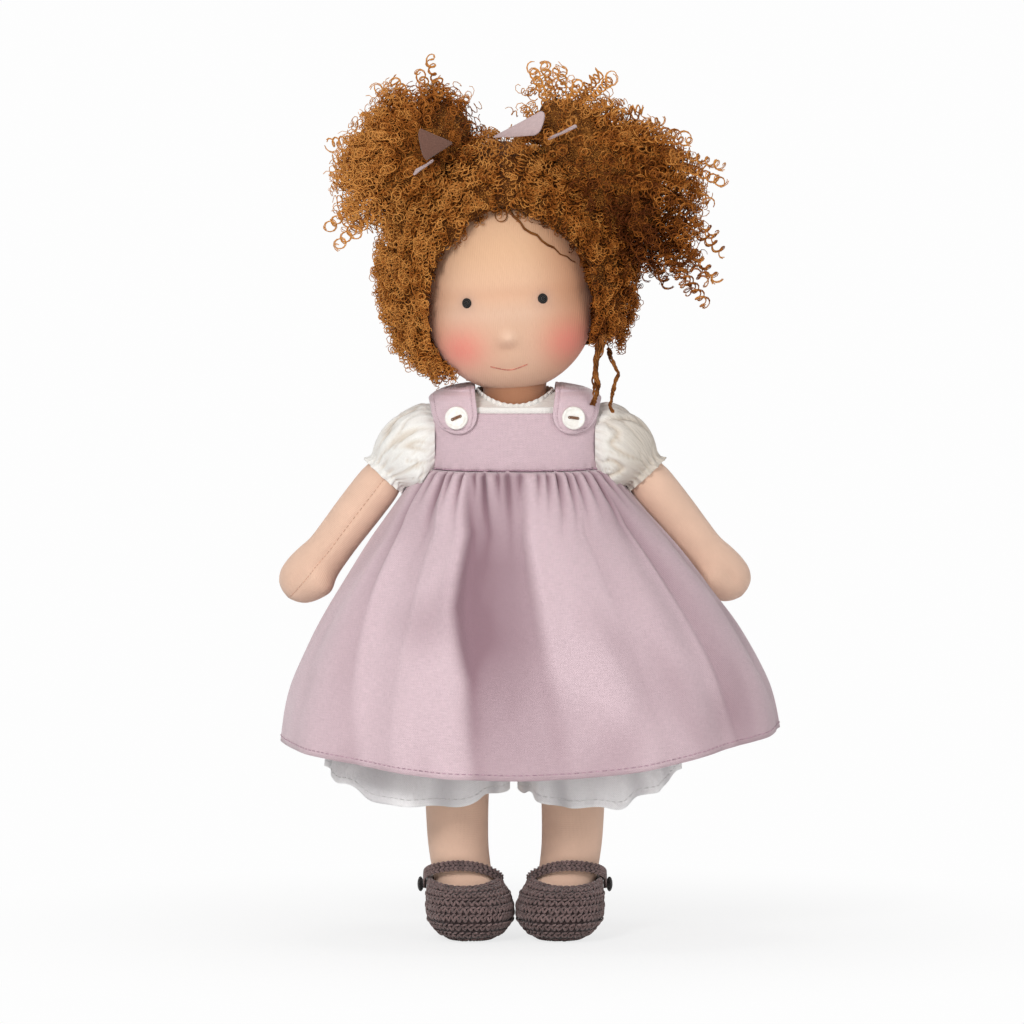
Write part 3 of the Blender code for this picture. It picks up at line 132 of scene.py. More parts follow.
class Finish:
    """A procedural material for one of the doll's surfaces."""

    def __init__(self, name, slot, **constants):
        self.slot = slot
        self.material = bpy.data.materials.new(name)
        self.material.use_nodes = True
        self.nodes = self.material.node_tree.nodes
        self.links = self.material.node_tree.links
        self.shader = self.nodes["Principled BSDF"]
        for socket, value in constants.items():
            self.shader.inputs[socket.replace("_", " ")].default_value = value

    def node(self, kind, settings, inputs, output=0):
        node = self.nodes.new(kind)
        for key, value in settings.items():
            if key == "stops":
                for index, (place, colour) in enumerate(value):
                    stop = node.color_ramp.elements[index] if index < 2 else node.color_ramp.elements.new(place)
                    stop.position = place
                    stop.color = (*colour, 1)
            else:
                setattr(node, key, value)
        for key, value in inputs.items():
            if isinstance(value, Value):
                self.links.new(value.socket, node.inputs[key])
            else:
                node.inputs[key].default_value = value
        return Value(self, node.outputs[output])

    def place(self, drawn_in=None):
        """Object coordinates, turned into one of the doll's frames."""
        coordinates = self.node("ShaderNodeTexCoord", {}, {}, "Object")
        if drawn_in is None:
            return coordinates
        inward = drawn_in.inverted()
        return self.node("ShaderNodeMapping", {}, {"Vector": coordinates, "Location": inward.to_translation(),
                                                   "Rotation": inward.to_euler()})

    def flat(self):
        """The piece's own flat coordinates, in metres."""
        return self.node("ShaderNodeTexCoord", {}, {}, "UV")

    def parts(self, vector):
        split = self.nodes.new("ShaderNodeSeparateXYZ")
        self.links.new(vector.socket, split.inputs[0])
        return [Value(self, output) for output in split.outputs]

    def scaled(self, vector, scale):
        return self.node("ShaderNodeVectorMath", {"operation": "MULTIPLY"}, {0: vector, 1: scale})

    def speckle(self, vector, scale, detail=2.0, roughness=0.5):
        """Noise from 0 to 1."""
        return self.node("ShaderNodeTexNoise", {}, {"Vector": vector, "Scale": scale, "Detail": detail,
                                                    "Roughness": roughness})

    def ramp(self, value, *stops):
        return self.node("ShaderNodeValToRGB", {"stops": stops}, {"Fac": value})

    def mix(self, share, first, second):
        first, second = [(*colour, 1) if isinstance(colour, tuple) else colour for colour in (first, second)]
        return self.node("ShaderNodeMix", {"data_type": "RGBA"}, {0: share, 6: first, 7: second}, 2)

    def colour(self, value):
        self.links.new(value.socket, self.shader.inputs["Base Color"])

    def bump(self, height, distance, strength=1.0):
        bump = self.node("ShaderNodeBump", {}, {"Height": height, "Distance": distance, "Strength": strength})
        self.links.new(bump.socket, self.shader.inputs["Normal"])


def shade(colour, factor):
    return tuple(channel * factor for channel in colour)


SKIN_TONE = (0.80, 0.535, 0.400)
LINEN_TONE = (0.650, 0.492, 0.532)
COTTON_TONE = (0.86, 0.84, 0.80)


def ribbed_knit(across, along, pitch):
    """Height of a fine jersey: ribs along the grain, crossed by rows of small loops."""
    ribs = (across * (math.tau / pitch)).sine()
    loops = (along * (math.tau / (pitch * 0.8)) + ribs).sine()
    return ribs * 0.6 + loops * 0.4


def knit_skin(name, tone):
    """Jersey over firm stuffing, on limbs and trunk: flat coordinates run round and along the piece."""
    finish = Finish(name, "skin", Roughness=0.85, Sheen_Weight=0.25, Sheen_Roughness=0.5,
                    Specular_IOR_Level=0.25)
    round_it, along, _ = finish.parts(finish.flat())
    mottle = finish.speckle(finish.place(), 55, 3)
    grain = finish.speckle(finish.scaled(finish.flat(), (2600, 500, 1)), 1, 2)
    base = finish.mix(mottle.between(0.35, 0.7), shade(tone, 0.95), shade(tone, 1.04))
    finish.colour(finish.mix(grain * 0.35, base, shade(tone, 0.80)))
    finish.bump(ribbed_knit(round_it, along, 0.0007) + grain * 0.8, 0.00012, 0.5)
    return finish


def face_skin():
    """Jersey of the head: fine upright ribs and pink cheeks, with painted shade along the drawn-in line of the eyes,
    under the nose, towards the jaw and on both sides, painted light on the nose and below the eye line, and a forehead
    warmed towards the hair, partly as a painted reflection of it.
    """
    finish = Finish("face_skin", "skin", Roughness=0.8, Sheen_Weight=0.2, Sheen_Roughness=0.5,
                    Specular_IOR_Level=0.2)
    place = finish.place(HEAD)
    x, y, z = finish.parts(place)
    forehead = finish.mix(z.between(0.002, 0.030), FOREHEAD_TONE, CROWN_TONE)
    tone = finish.mix(z.between(-0.002, 0.005), LOWER_FACE_TONE, forehead)
    for height, spread, strength, band_tone in FACE_BANDS:
        tone = finish.mix(((z - height) / spread).bell() * strength, tone, band_tone)
    for way, (start, end, strength, side_tone) in ((z * -1.0, JAW_SHADE), (x, LEFT_SHADE), (x * -1.0, RIGHT_SHADE)):
        tone = finish.mix(way.between(start, end) * strength, tone, side_tone)
    fuzz = finish.speckle(place, 900, 2) * 0.3 + 0.85
    for middle, height, wide, high, strength, spot_tone in FACE_SPOTS:
        spot = ((x - middle) / wide).bell() * ((z - height) / high).bell() * strength
        tone = finish.mix(spot * fuzz if spot_tone == BLUSH else spot, tone, spot_tone)
    ribs = (x * (math.tau / FACE_RIB_PITCH)).sine() * y.between(-0.002, -0.012)
    grain = finish.speckle(finish.scaled(place, (1500, 1500, 260)), 1, 2)
    finish.colour(finish.mix(grain.between(0.45, 0.8) * 0.20, tone, GRAIN_TONE))
    finish.bump(ribs * 0.5 + grain, 0.00014, 0.5)
    return finish


def mohair(name, dark, middle, light, centre, reach, deep, matted=0.0):
    """Curly mohair: darker near a centre, as towards the roots, and golden further out, towards the tips, partly its
    own tone and partly painted shade and light, with locks of different tones.

    A matted one also shows the curls within a mass of hair, as swirling lines of painted light and shade.
    """
    finish = Finish(name, "mohair", Roughness=0.6, Specular_IOR_Level=0.12)
    place = finish.place()
    away = finish.node("ShaderNodeVectorMath", {"operation": "DISTANCE"}, {0: place, 1: centre}, "Value")
    locks = finish.speckle(place, 170, 2)
    fibres = finish.speckle(place, 1400, 1)
    tone = away / reach + (locks - 0.5) * 1.3 + (fibres - 0.5) * 0.6
    height = fibres
    if matted:
        swirls = (finish.speckle(place, 330, 2) * 52.0).sine()
        tone = tone + swirls * matted
        height = swirls * 1.6 + fibres
    finish.colour(finish.ramp(tone.between(deep, 1.15), (0.0, dark), (0.5, middle), (1.0, light)))
    finish.bump(height, 0.00045 if matted else 0.0002, 0.8 if matted else 0.4)
    return finish


def woven(finish, tone, pitch, contrast, deep):
    """Plain weave in flat coordinates, thick and thin threads both ways, with painted shade in its hollows: the deeper
    tone, mixed in by the share kept with each point.
    """
    flat = finish.flat()
    across, along, _ = finish.parts(flat)
    warp = finish.speckle(finish.scaled(flat, (1 / pitch, 0.16 / pitch, 1)), 1.0, 1)
    weft = finish.speckle(finish.scaled(flat, (0.13 / pitch, 1 / pitch, 1)), 1.0, 1)
    threads = (across * (math.pi / pitch)).sine() * (along * (math.pi / pitch)).sine()
    thick = warp * 0.8 + weft
    soft = finish.speckle(flat, 26, 3)
    light = (thick - 0.9) * contrast + (soft - 0.5) * 0.35 + threads * 0.16 + 0.5
    base = finish.mix(light.between(0.0, 1.0), shade(tone, 0.86), shade(tone, 1.10))
    painted_shade = finish.node("ShaderNodeAttribute", {"attribute_name": "painted_shade"}, {}, "Fac")
    return finish.mix(painted_shade, base, deep), threads * 0.5 + thick * 1.3, flat


def fold_shade_tone(tone):
    """Painted shade for a cloth between its folds: its tone made darker and warmer."""
    return tone[0] * 0.43, tone[1] * 0.345, tone[2] * 0.375


def linen(name, tone):
    finish = Finish(name, "mauve_linen", Roughness=0.9, Sheen_Weight=0.35, Sheen_Roughness=0.45,
                    Specular_IOR_Level=0.2)
    cloth, height, _ = woven(finish, tone, 0.00052, 0.75, fold_shade_tone(tone))
    finish.colour(cloth)
    finish.bump(height, 0.00018, 0.6)
    return finish


def crinkled_cotton(name, tone, deep):
    finish = Finish(name, "white_cotton", Roughness=0.9, Sheen_Weight=0.2, Specular_IOR_Level=0.2)
    cloth, height, flat = woven(finish, tone, 0.0005, 0.4, deep)
    x, _, z = finish.parts(finish.place(BODY))
    shaded_side = x.between(0.030, 0.062) * z.between(0.15, 0.2) * 0.72
    finish.colour(finish.mix(shaded_side, cloth, (0.56, 0.475, 0.385)))
    crinkle = finish.speckle(finish.scaled(flat, (420, 110, 1)), 1, 3, 0.6)
    finish.bump(height * 0.25 + crinkle * 4.0, 0.00030, 0.6)
    return finish


def yarn(name, slot, tone, twist, **constants):
    """Spun yarn: fine fibres along it and a mottled tone."""
    finish = Finish(name, slot, Roughness=0.9, Sheen_Weight=0.3, Specular_IOR_Level=0.15, **constants)
    place = finish.place()
    fibres = finish.speckle(place, twist, 3, 0.7)
    mottle = finish.speckle(place, 260, 2)
    light = fibres * 0.7 + mottle * 0.3
    finish.colour(finish.mix(light.between(0.32, 0.68), shade(tone, 0.5), shade(tone, 1.55)))
    finish.bump(fibres, 0.00025, 0.7)
    return finish


def pressed_button():
    finish = Finish("button", "button", Roughness=0.42, Specular_IOR_Level=0.4)
    place = finish.place()
    cloud = finish.speckle(place, 500, 3)
    finish.colour(finish.mix(cloud.between(0.35, 0.7), (0.80, 0.77, 0.71), (0.90, 0.88, 0.84)))
    finish.bump(cloud, 0.00005, 0.4)
    return finish


# Makers of pieces
class Profile:
    """Columns of values that change smoothly from row to row; a share from 0 to 1 runs through the rows."""

    def __init__(self, rows):
        self.rows = np.array(rows, float)
        self.slopes = np.gradient(self.rows, axis=0)

    def __call__(self, share):
        last = len(self.rows) - 1
        place = min(max(share, 0.0), 1.0) * last
        index = min(int(place), last - 1)
        t = place - index
        a, b = self.rows[index], self.rows[index + 1]
        m, n = self.slopes[index], self.slopes[index + 1]
        t2, t3 = t * t, t * t * t
        return (a * (2 * t3 - 3 * t2 + 1) + m * (t3 - 2 * t2 + t) + b * (3 * t2 - 2 * t3) + n * (t3 - t2)).tolist()


def face_out(shape):
    """Turns every face outwards, also on an open tube or strip that goes round something."""
    bmesh.ops.recalc_face_normals(shape, faces=shape.faces)
    middle = sum((vert.co for vert in shape.verts), Vector()) / len(shape.verts)
    outward = sum(face.normal.dot(face.calc_center_median() - middle) * face.calc_area() for face in shape.faces)
    if outward < 0:
        bmesh.ops.reverse_faces(shape, faces=shape.faces)


def mesh_from(shape, name):
    mesh = bpy.data.meshes.new(name)
    shape.to_mesh(mesh)
    shape.free()
    return mesh


def formed(name, columns, rows, size, place, flat=None, painted_shade=None):
    """A mesh from a flat grid: place puts each point of it in space, from shares across and along it.

    Its flat coordinates are those of the flat piece in metres, or what flat gives for the shares. What the last
    argument gives is kept with each point, for the finish: the share of painted shade, 0 on top of the folds and up to
    1 deep between them.
    """
    shape = bmesh.new()
    layer = shape.loops.layers.uv.new("UVMap")
    depth = shape.verts.layers.float.new("painted_shade")
    bmesh.ops.create_grid(shape, x_segments=columns, y_segments=rows, size=0.5)
    for face in shape.faces:
        for loop in face.loops:
            across, along = loop.vert.co.x + 0.5, loop.vert.co.y + 0.5
            loop[layer].uv = flat(across, along) if flat else (across * size[0], along * size[1])
    for vert in shape.verts:
        across, along = vert.co.x + 0.5, vert.co.y + 0.5
        vert[depth] = min(max(painted_shade(across, along), 0.0), 1.0) if painted_shade else 0.0
        vert.co = place(across, along)
    bmesh.ops.remove_doubles(shape, verts=shape.verts, dist=WELD)
    face_out(shape)
    return mesh_from(shape, name)


def add_piece(name, mesh, finish, body, drawn_in=BODY, stands_for=()):
    """Puts a piece drawn in one of the doll's frames in the scene and has it ride on a body; a piece between two bodies
    is only set in place.
    """
    mesh.transform(drawn_in)
    mesh.shade_smooth()
    mesh.materials.append(finish.material)
    return put_in(name, mesh, body, stands_for)


def put_in(name, data, body, stands_for=()):
    piece = bpy.data.objects.new(name, data)
    bpy.context.scene.collection.objects.link(piece)
    if isinstance(body, tuple):
        tuple(body[2])
        tuple(body[3])
        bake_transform(piece)
    elif body:
        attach(piece, body)
    if stands_for:
        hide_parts(*stands_for)
    return piece


def thicken(piece, wall):
    solidify = piece.modifiers.new("wall", "SOLIDIFY")
    solidify.thickness = wall
    solidify.offset = -1


def add_threads(name, routes, radius, finish, body, drawn_in=BODY, stands_for=(), taper=None, sides=0):
    """Round threads along routes of points, all in one piece; taper gives the radius share along each."""
    curve = bpy.data.curves.new(name, "CURVE")
    curve.dimensions = "3D"
    curve.bevel_depth = radius
    curve.bevel_resolution = sides
    curve.use_fill_caps = True
    for route in routes:
        spline = curve.splines.new("POLY")
        spline.points.add(len(route) - 1)
        flat = []
        for point in route:
            flat.extend((*(drawn_in @ Vector(point)), 1))
        spline.points.foreach_set("co", flat)
        if taper:
            shares = [taper(index / (len(route) - 1)) for index in range(len(route))]
            spline.points.foreach_set("radius", shares)
        spline.use_smooth = True
    curve.materials.append(finish.material)
    if isinstance(body, tuple):
        drawn = bpy.data.objects.new(name + "_drawn", curve)
        curve = bpy.data.meshes.new_from_object(drawn)
        bpy.data.objects.remove(drawn)
    return put_in(name, curve, body, stands_for)


def dashes(route, count, share=0.62):
    """Short stitches spaced evenly along a line: route gives a point for a share of the way."""
    stitches = []
    for index in range(count):
        start = index / count
        end = start + share / count
        middle = (start + end) / 2
        stitches.append([route(start), route(middle), route(end)])
    return stitches


def superellipse(turn, half_across, half_along, power):
    across, along = math.cos(turn), math.sin(turn)
    return (math.copysign(abs(across) ** (2 / power), across) * half_across,
            math.copysign(abs(along) ** (2 / power), along) * half_along)


def wave(turn, count, shift, wander):
    """An uneven wave round a piece, from -1 to 1."""
    return math.sin(count * turn + shift + wander * math.sin(3 * turn + shift) + 0.6 * wander
                    * math.sin(5 * turn + 2.3 * shift))


# Trunk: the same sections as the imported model's
LAYER_GAP = 0.0004
BLOUSE_WALL = 0.0008
DRESS_WALL = 0.0012
TORSO_HALF_WIDTH = 0.0384
TORSO_HALF_DEPTH = 0.022
TORSO_POWER = 2.6
TORSO_SHARES = (
    (0.018, 0.885, 0.073), (0.073, 0.937, 0.273), (0.145, 0.974, 0.545), (0.236, 0.990, 0.795),
    (0.364, 0.979, 0.977), (0.509, 0.953, 1.000), (0.655, 0.964, 1.000), (0.782, 1.000, 0.990),
    (0.900, 1.000, 0.918), (0.936, 0.990, 0.890), (0.964, 0.924, 0.855), (0.985, 0.794, 0.818),
)
SHOULDER_SLOPE_SHARES = (0.78, 0.90)
NECK_HOLE_RADIUS = 0.0166
NECK_DIP = 0.006
BODICE_OFFSET = LAYER_GAP * 2 + BLOUSE_WALL + DRESS_WALL


def torso_height(share):
    return HIP_HEIGHT + share * TRUNK_LENGTH


def torso_half_sizes(height, offset):
    share = (height - HIP_HEIGHT) / TRUNK_LENGTH
    share -= offset / TRUNK_LENGTH * np.interp(share, SHOULDER_SLOPE_SHARES, (0, 1))
    height_shares, width_shares, depth_shares = zip(*TORSO_SHARES)
    return (TORSO_HALF_WIDTH * np.interp(share, height_shares, width_shares) + offset,
            TORSO_HALF_DEPTH * np.interp(share, height_shares, depth_shares) + offset)


def shoulder_top(across, offset):
    """Height at which the shoulder's slope, grown by an offset, is as wide as a place on X."""
    _, width_shares, _ = zip(*TORSO_SHARES[8:])
    heights = [torso_height(row[0]) + offset for row in TORSO_SHARES[8:]] + [NECK_HEIGHT + offset]
    widths = [TORSO_HALF_WIDTH * share + offset for share in width_shares] + [NECK_HOLE_RADIUS + offset]
    return np.interp(across, widths[::-1], heights[::-1])


def trunk_point(turn, height, offset):
    half_width, half_depth = torso_half_sizes(height, offset)
    x, y = superellipse(turn, half_width, half_depth, TORSO_POWER)
    return Vector((x, y, height))


def neckline_dip(turn, share):
    """How far the front of a ring near the neck lies below its sides."""
    return NECK_DIP * share * max(-math.sin(turn), 0) ** 2


def make_trunk(skin, neck_shadow_finish):
    low, high = torso_height(TORSO_SHARES[0][0]), torso_height(TORSO_SHARES[-1][0])

    def place(across, along):
        turn = across * math.tau
        if along <= 0:
            return Vector((0, 0, low - 0.001))
        if along > 0.96:
            radius = NECK_HOLE_RADIUS * (1 if along < 1 else 0)
            return Vector((radius * math.cos(turn), radius * math.sin(turn),
                           high + 0.0012 - neckline_dip(turn, 0.9)))
        height = low + (high - low) * along / 0.96
        point = trunk_point(turn, height, 0)
        point.z -= neckline_dip(turn, np.interp(along, (0.88, 0.96), (0, 0.85)))
        return point

    mesh = formed("trunk", 72, 50, (0.2, 0.11), place)
    trunk = add_piece("trunk", mesh, skin, "torso", stands_for=("torso_skin", "torso_stuffing"))
    seam = add_threads("hip_stitches", dashes(lambda share: Vector((0.068 * share - 0.034, 0, HIP_HEIGHT)), 20),
                       0.0013, skin, "hips", stands_for=("hip_seam",), sides=2)

    def neck_place(across, along):
        turn = across * math.tau
        radius, height = NECK_LINE(along)
        return Vector((radius * math.cos(turn), radius * math.sin(turn), height))

    neck_mesh = formed("neck", 56, 30, (0.098, 0.03), neck_place)
    neck = add_piece("neck", neck_mesh, neck_shadow_finish, "neck", NECK, stands_for=("neck_stalk",))


NECK_LINE = Profile(((0, -0.0178), (0.0150, -0.0178), (0.0156, -0.014), (0.0150, -0.004), (0.0148, 0.002),
                     (0.0156, 0.0062), (0.0150, 0.0066), (0.0075, 0.0036), (0, 0.0028)))


# Head
EYE_HEIGHT = 0.003
EYE_PLACES = (-0.0194, 0.0160)
NOSE = (-0.0017, -0.0146)
MOUTH_HEIGHT = -0.0299
MOUTH_HALF_WIDTH = 0.0088
MOUTH_SMILE = 0.0020


# Tones of the forehead, the crown and the lower face, warmer towards the hair, partly as a painted reflection of it.
# Height, spread, strength and tone of bands across the face: painted shade above the eye line, painted light below it;
# start, end, strength and tone of its shaded edges: painted shade towards the jaw and on both sides, deepest on the
# doll's left
FOREHEAD_TONE, CROWN_TONE, LOWER_FACE_TONE = (0.715, 0.450, 0.305), (0.705, 0.432, 0.265), (0.672, 0.424, 0.294)
GRAIN_TONE = (0.62, 0.35, 0.22)
FACE_BANDS = ((0.0065, 0.0042, 0.26, (0.60, 0.29, 0.17)), (-0.0035, 0.0035, 0.35, (0.72, 0.490, 0.362)))
JAW_SHADE = (0.022, 0.042, 0.62, (0.625, 0.355, 0.24))
LEFT_SHADE = (0.006, 0.037, 0.80, (0.52, 0.225, 0.11))
RIGHT_SHADE = (0.024, 0.038, 0.6, (0.70, 0.36, 0.21))
FACE_RIB_PITCH = 0.00085
BLUSH = (0.80, 0.205, 0.165)
EYE_HALO = (0.42, 0.28, 0.24)
# Middle, height, spreads, strength and tone of spots on the face: the pink cheeks, a painted shadow under the nose, a
# painted highlight on the nose and a darker patch round each eye
FACE_SPOTS = (
    (-0.0240, -0.0196, 0.0120, 0.0105, 0.74, BLUSH), (0.0275, -0.0190, 0.0120, 0.0105, 0.70, BLUSH),
    (NOSE[0] - 0.0008, NOSE[1] - 0.0036, 0.0050, 0.0026, 0.32, (0.48, 0.24, 0.15)),
    (NOSE[0] + 0.0006, NOSE[1] + 0.0012, 0.0032, 0.0028, 0.35, (0.92, 0.66, 0.50)),
    (EYE_PLACES[0], EYE_HEIGHT, 0.0042, 0.0040, 0.42, EYE_HALO),
    (EYE_PLACES[1], EYE_HEIGHT, 0.0042, 0.0040, 0.42, EYE_HALO),
)
# Middle, spreads and rise of the cheeks and chin, then of the nose, its bridge, the dip under it and the mouth
FULL_FORMS = ((-0.021, -0.017, 0.013, 0.012, 0.0009), (0.021, -0.016, 0.013, 0.012, 0.0009),
              (NOSE[0], -0.034, 0.012, 0.008, 0.0006))
FINE_FORMS = ((*NOSE, 0.0040, 0.0036, 0.0027), (NOSE[0], NOSE[1] + 0.006, 0.0060, 0.007, 0.0005),
              (NOSE[0], NOSE[1] - 0.0052, 0.0045, 0.0022, -0.0005),
              (NOSE[0], MOUTH_HEIGHT + 0.0006, 0.008, 0.0016, -0.0005))
EYE_LINE_HEIGHT = EYE_HEIGHT + 0.0012
EYE_LINE_SPREAD = 0.0045
EYE_LINE_DEPTH = 0.0011
EYE_ROUNDS = ((0.0, 0.00205), (0.00035, 0.00135), (0.0006, 0.0005))
EYE_THREAD = 0.00042
MOUTH_THREAD = 0.0003


def swell(point, forms):
    """How far the rounded forms of the face stand out at a point."""
    return sum(rise * math.exp(-((point.x - x) / wide) ** 2 - ((point.z - z) / high) ** 2)
               for x, z, wide, high, rise in forms)


def head_surface(direction):
    """The head's outside in a direction from its middle: a ball drawn up into a dome, with its face."""
    x, y, z = direction
    top = HEAD_TOP if z > 0 else HEAD_LOW
    point = direction / math.sqrt((x * x + y * y) / HEAD_RADIUS**2 + (z / top) ** 2)
    outward = Vector((point.x, point.y, 0)).normalized()
    front = min(max(-y * 1.6 + 0.15, 0), 1)
    eye_line = math.exp(-((point.z - EYE_LINE_HEIGHT) / EYE_LINE_SPREAD) ** 2) * (0.35 + 0.65 * front)
    point -= outward * EYE_LINE_DEPTH * eye_line
    point += outward * front * swell(point, FULL_FORMS)
    if y < 0:
        point += outward * swell(point, FINE_FORMS)
    return point


def on_face(x, z, offset):
    """A point of the face at a place on X and Z, standing off it by an offset."""
    level = HEAD_RADIUS**2 * (1 - (z / (HEAD_TOP if z > 0 else HEAD_LOW)) ** 2)
    point = Vector((x, -math.sqrt(max(level - x * x, 0.004**2)), z))
    for _ in range(3):
        found = head_surface(point.normalized())
        point = Vector((x, point.y * found.length / point.length, z))
    return point + point.normalized() * offset


def make_head(skin, thread, lips):
    def place(across, along):
        turn, rise = across * math.tau, (along - 0.5) * math.pi
        level = math.cos(rise)
        return head_surface(Vector((level * math.cos(turn), level * math.sin(turn), math.sin(rise))))

    head = add_piece("head", formed("head", 150, 120, (0.257, 0.15), place), skin, "head", HEAD,
                     stands_for=("head_skin", "head_core"))
    for side, middle in zip(SIDES, EYE_PLACES):
        seat = on_face(middle, EYE_HEIGHT, 0.0003)
        facing = Matrix.Translation(seat) @ seat.normalized().to_track_quat("Z", "Y").to_matrix().to_4x4()
        rounds = [[facing @ Vector((reach * math.cos(turn), reach * math.sin(turn), level))
                   for turn in np.linspace(0, math.tau, 17)] for level, reach in EYE_ROUNDS]
        add_threads(f"eye_stitches_{side}", rounds, EYE_THREAD, thread, "head", HEAD,
                    stands_for=(f"eye_{side}",), sides=2)

    def smile(share):
        across = share * 2 - 1
        rise = MOUTH_SMILE * across**2 + 0.0002 * math.sin(9 * share)
        return on_face(across * MOUTH_HALF_WIDTH + NOSE[0], MOUTH_HEIGHT + rise, 0.0001)

    add_threads("mouth_stitches", dashes(smile, 7, 0.93), MOUTH_THREAD, lips, "head", HEAD,
                stands_for=("mouth",), sides=2)


# Hair
WIG_HALF_WIDTH = 0.0615
WIG_HALF_DEPTH = 0.049
WIG_HEIGHT = 0.078
WIG_BACK = 0.010
WIG_SHARES = (
    (-0.41, 0.65, 0.61, 1.00), (-0.26, 0.88, 0.86, 0.60), (0.00, 0.98, 0.98, 0.40), (0.26, 1.00, 1.00, 0.30),
    (0.54, 0.91, 0.94, 0.30), (0.77, 0.71, 0.76, 0.30), (0.92, 0.45, 0.50, 0.30), (1.00, 0.0, 0.0, 0.30),
)
HAIRLINE_DEPTH = 0.008
LOW_LEFT_EDGE = -0.0215
HAIRLINE = [Vector((x, z)) * HEAD_RADIUS for x, z in (
    (-0.78, -1.46), (-0.78, -0.98), (-0.915, -0.49), (-0.927, 0.12), (-0.73, 0.59), (-0.39, 0.95), (0.0, 1.12),
    (0.34, 0.99), (0.70, 0.71), (0.93, 0.34), (0.95, -0.20), (0.93, -0.39), (1.13, -0.39), (1.15, -0.52),
    (1.56, -0.59), (1.56, -1.46))]
BUNCH_TIE = Vector((0.026, -0.008, 0.074))
BUNCH_MIDDLES = {"right": Vector((-0.0423, -0.002, 0.072)), "left": Vector((0.0528, -0.002, 0.0506))}
BUNCH_HALF_DEPTHS = {"right": 0.033, "left": 0.035}
BUNCH_REACHES = {
    "right": (0.039, 0.041, 0.044, 0.043, 0.040, 0.036, 0.034, 0.036, 0.032, 0.028, 0.029, 0.034,
              0.037, 0.040, 0.046, 0.053, 0.046, 0.042, 0.040, 0.038, 0.038, 0.038, 0.038, 0.038),
    "left": (0.051, 0.045, 0.044, 0.041, 0.039, 0.040, 0.048, 0.057, 0.063, 0.061, 0.054, 0.046,
             0.042, 0.042, 0.044, 0.046, 0.048, 0.050, 0.050, 0.052, 0.060, 0.062, 0.055, 0.051),
}
BUNCH_TIPS = {
    "right": ((-0.0308, 0.1165), (-0.0271, 0.1078), (-0.0344, 0.1120), (-0.0547, 0.1049), (-0.0474, 0.1072),
              (-0.0440, 0.0956), (-0.0631, 0.0912), (-0.0791, 0.0771), (-0.0725, 0.0705), (-0.0782, 0.0619),
              (-0.0702, 0.0548), (-0.0830, 0.0405), (-0.0793, 0.0317), (-0.0737, 0.0455), (-0.0716, 0.0340)),
    "left": ((0.0183, 0.1104), (0.0244, 0.1110), (0.0321, 0.1057), (0.0394, 0.1024), (0.0499, 0.1045),
             (0.0563, 0.1022), (0.0455, 0.0954), (0.0524, 0.0921), (0.0675, 0.0854), (0.0774, 0.0790),
             (0.0910, 0.0706), (0.0867, 0.0633), (0.1042, 0.0564), (0.1047, 0.0498), (0.0984, 0.0403),
             (0.0923, 0.0345), (0.0992, 0.0236), (0.1005, 0.0150), (0.0909, 0.0128), (0.0948, 0.0012),
             (0.0853, -0.0010), (0.0923, -0.0081), (0.0983, 0.0038), (0.0760, 0.0015)),
}

def wig_point(turn, height, depth):
    """A point of the wig's volume at a turn and height, a depth inside its surface."""
    shares, widths, depths, backs = zip(*WIG_SHARES)
    share = height / WIG_HEIGHT
    half_width = WIG_HALF_WIDTH * np.interp(share, shares, widths) - depth
    half_depth = WIG_HALF_DEPTH * np.interp(share, shares, depths) - depth
    middle = WIG_BACK * np.interp(share, shares, backs)
    return Vector((half_width * math.cos(turn), middle + half_depth * math.sin(turn), height))


def inside_hairline(x, z, margin=0.0):
    """Whether a place on the front lies within the face opening."""
    inside = False
    count = len(HAIRLINE)
    for index in range(count):
        a, b = HAIRLINE[index], HAIRLINE[(index + 1) % count]
        if (a.y > z) != (b.y > z) and x < (b.x - a.x) * (z - a.y) / (b.y - a.y) + a.x:
            inside = not inside
    if margin and not inside:
        for index in range(count):
            a, b = HAIRLINE[index], HAIRLINE[(index + 1) % count]
            line = b - a
            share = min(max((Vector((x, z)) - a).dot(line) / line.length_squared, 0), 1)
            if (Vector((x, z)) - a - line * share).length < margin:
                return True
    return inside


def curl(root, bend, tip, start_radius, end_radius, pitch, dice, steps=9, opening=1.0, twins=1):
    """Points of one or more strands that wind together round a bowed line, in rings that lean over.

    The rings get wider towards the tip, and their lean shows each as a loop from the front and the back.
    """
    length = (bend - root).length + (tip - bend).length
    turns = max(length / pitch, 0.8)
    count = max(int(turns * steps), 6)
    shift = dice.uniform(0, math.tau)
    way = 1 if dice.random() < 0.5 else -1
    lean = dice.uniform(0.55, 0.95)
    strands = []
    for twin in range(twins):
        points = []
        part = shift + twin * 0.45
        width = 1 - 0.16 * twin
        for index in range(count + 1):
            t = index / count
            line = root * (1 - t) ** 2 + bend * (2 * t * (1 - t)) + tip * t * t
            ahead = ((bend - root) * (1 - t) + (tip - bend) * t).normalized()
            deep = Y_AXIS - ahead * ahead.y
            if deep.length < 0.25:
                deep = X_AXIS - ahead * ahead.x
            deep.normalize()
            aside = ahead.cross(deep)
            radius = (start_radius + (end_radius - start_radius) * t**opening) * width
            turn = part + way * turns * math.tau * t
            points.append(line + (deep * math.cos(turn) + aside * math.sin(turn)
                                  + ahead * lean * math.cos(turn)) * radius)
        strands.append(points)
    return strands


def scatter(dice, size):
    return Vector([dice.gauss(0, size) for _ in range(3)])


def lock_taper(share):
    return 1.0 - 0.35 * share**2


def split_pieces(name, routes, per_piece, radius, finish, body):
    """Shares routes out among pieces, so that none has too many faces."""
    for index, start in enumerate(range(0, len(routes), per_piece)):
        part = routes[start:start + per_piece]
        add_threads(f"{name}_{index + 1}", part, radius, finish, body, HEAD, taper=lock_taper)


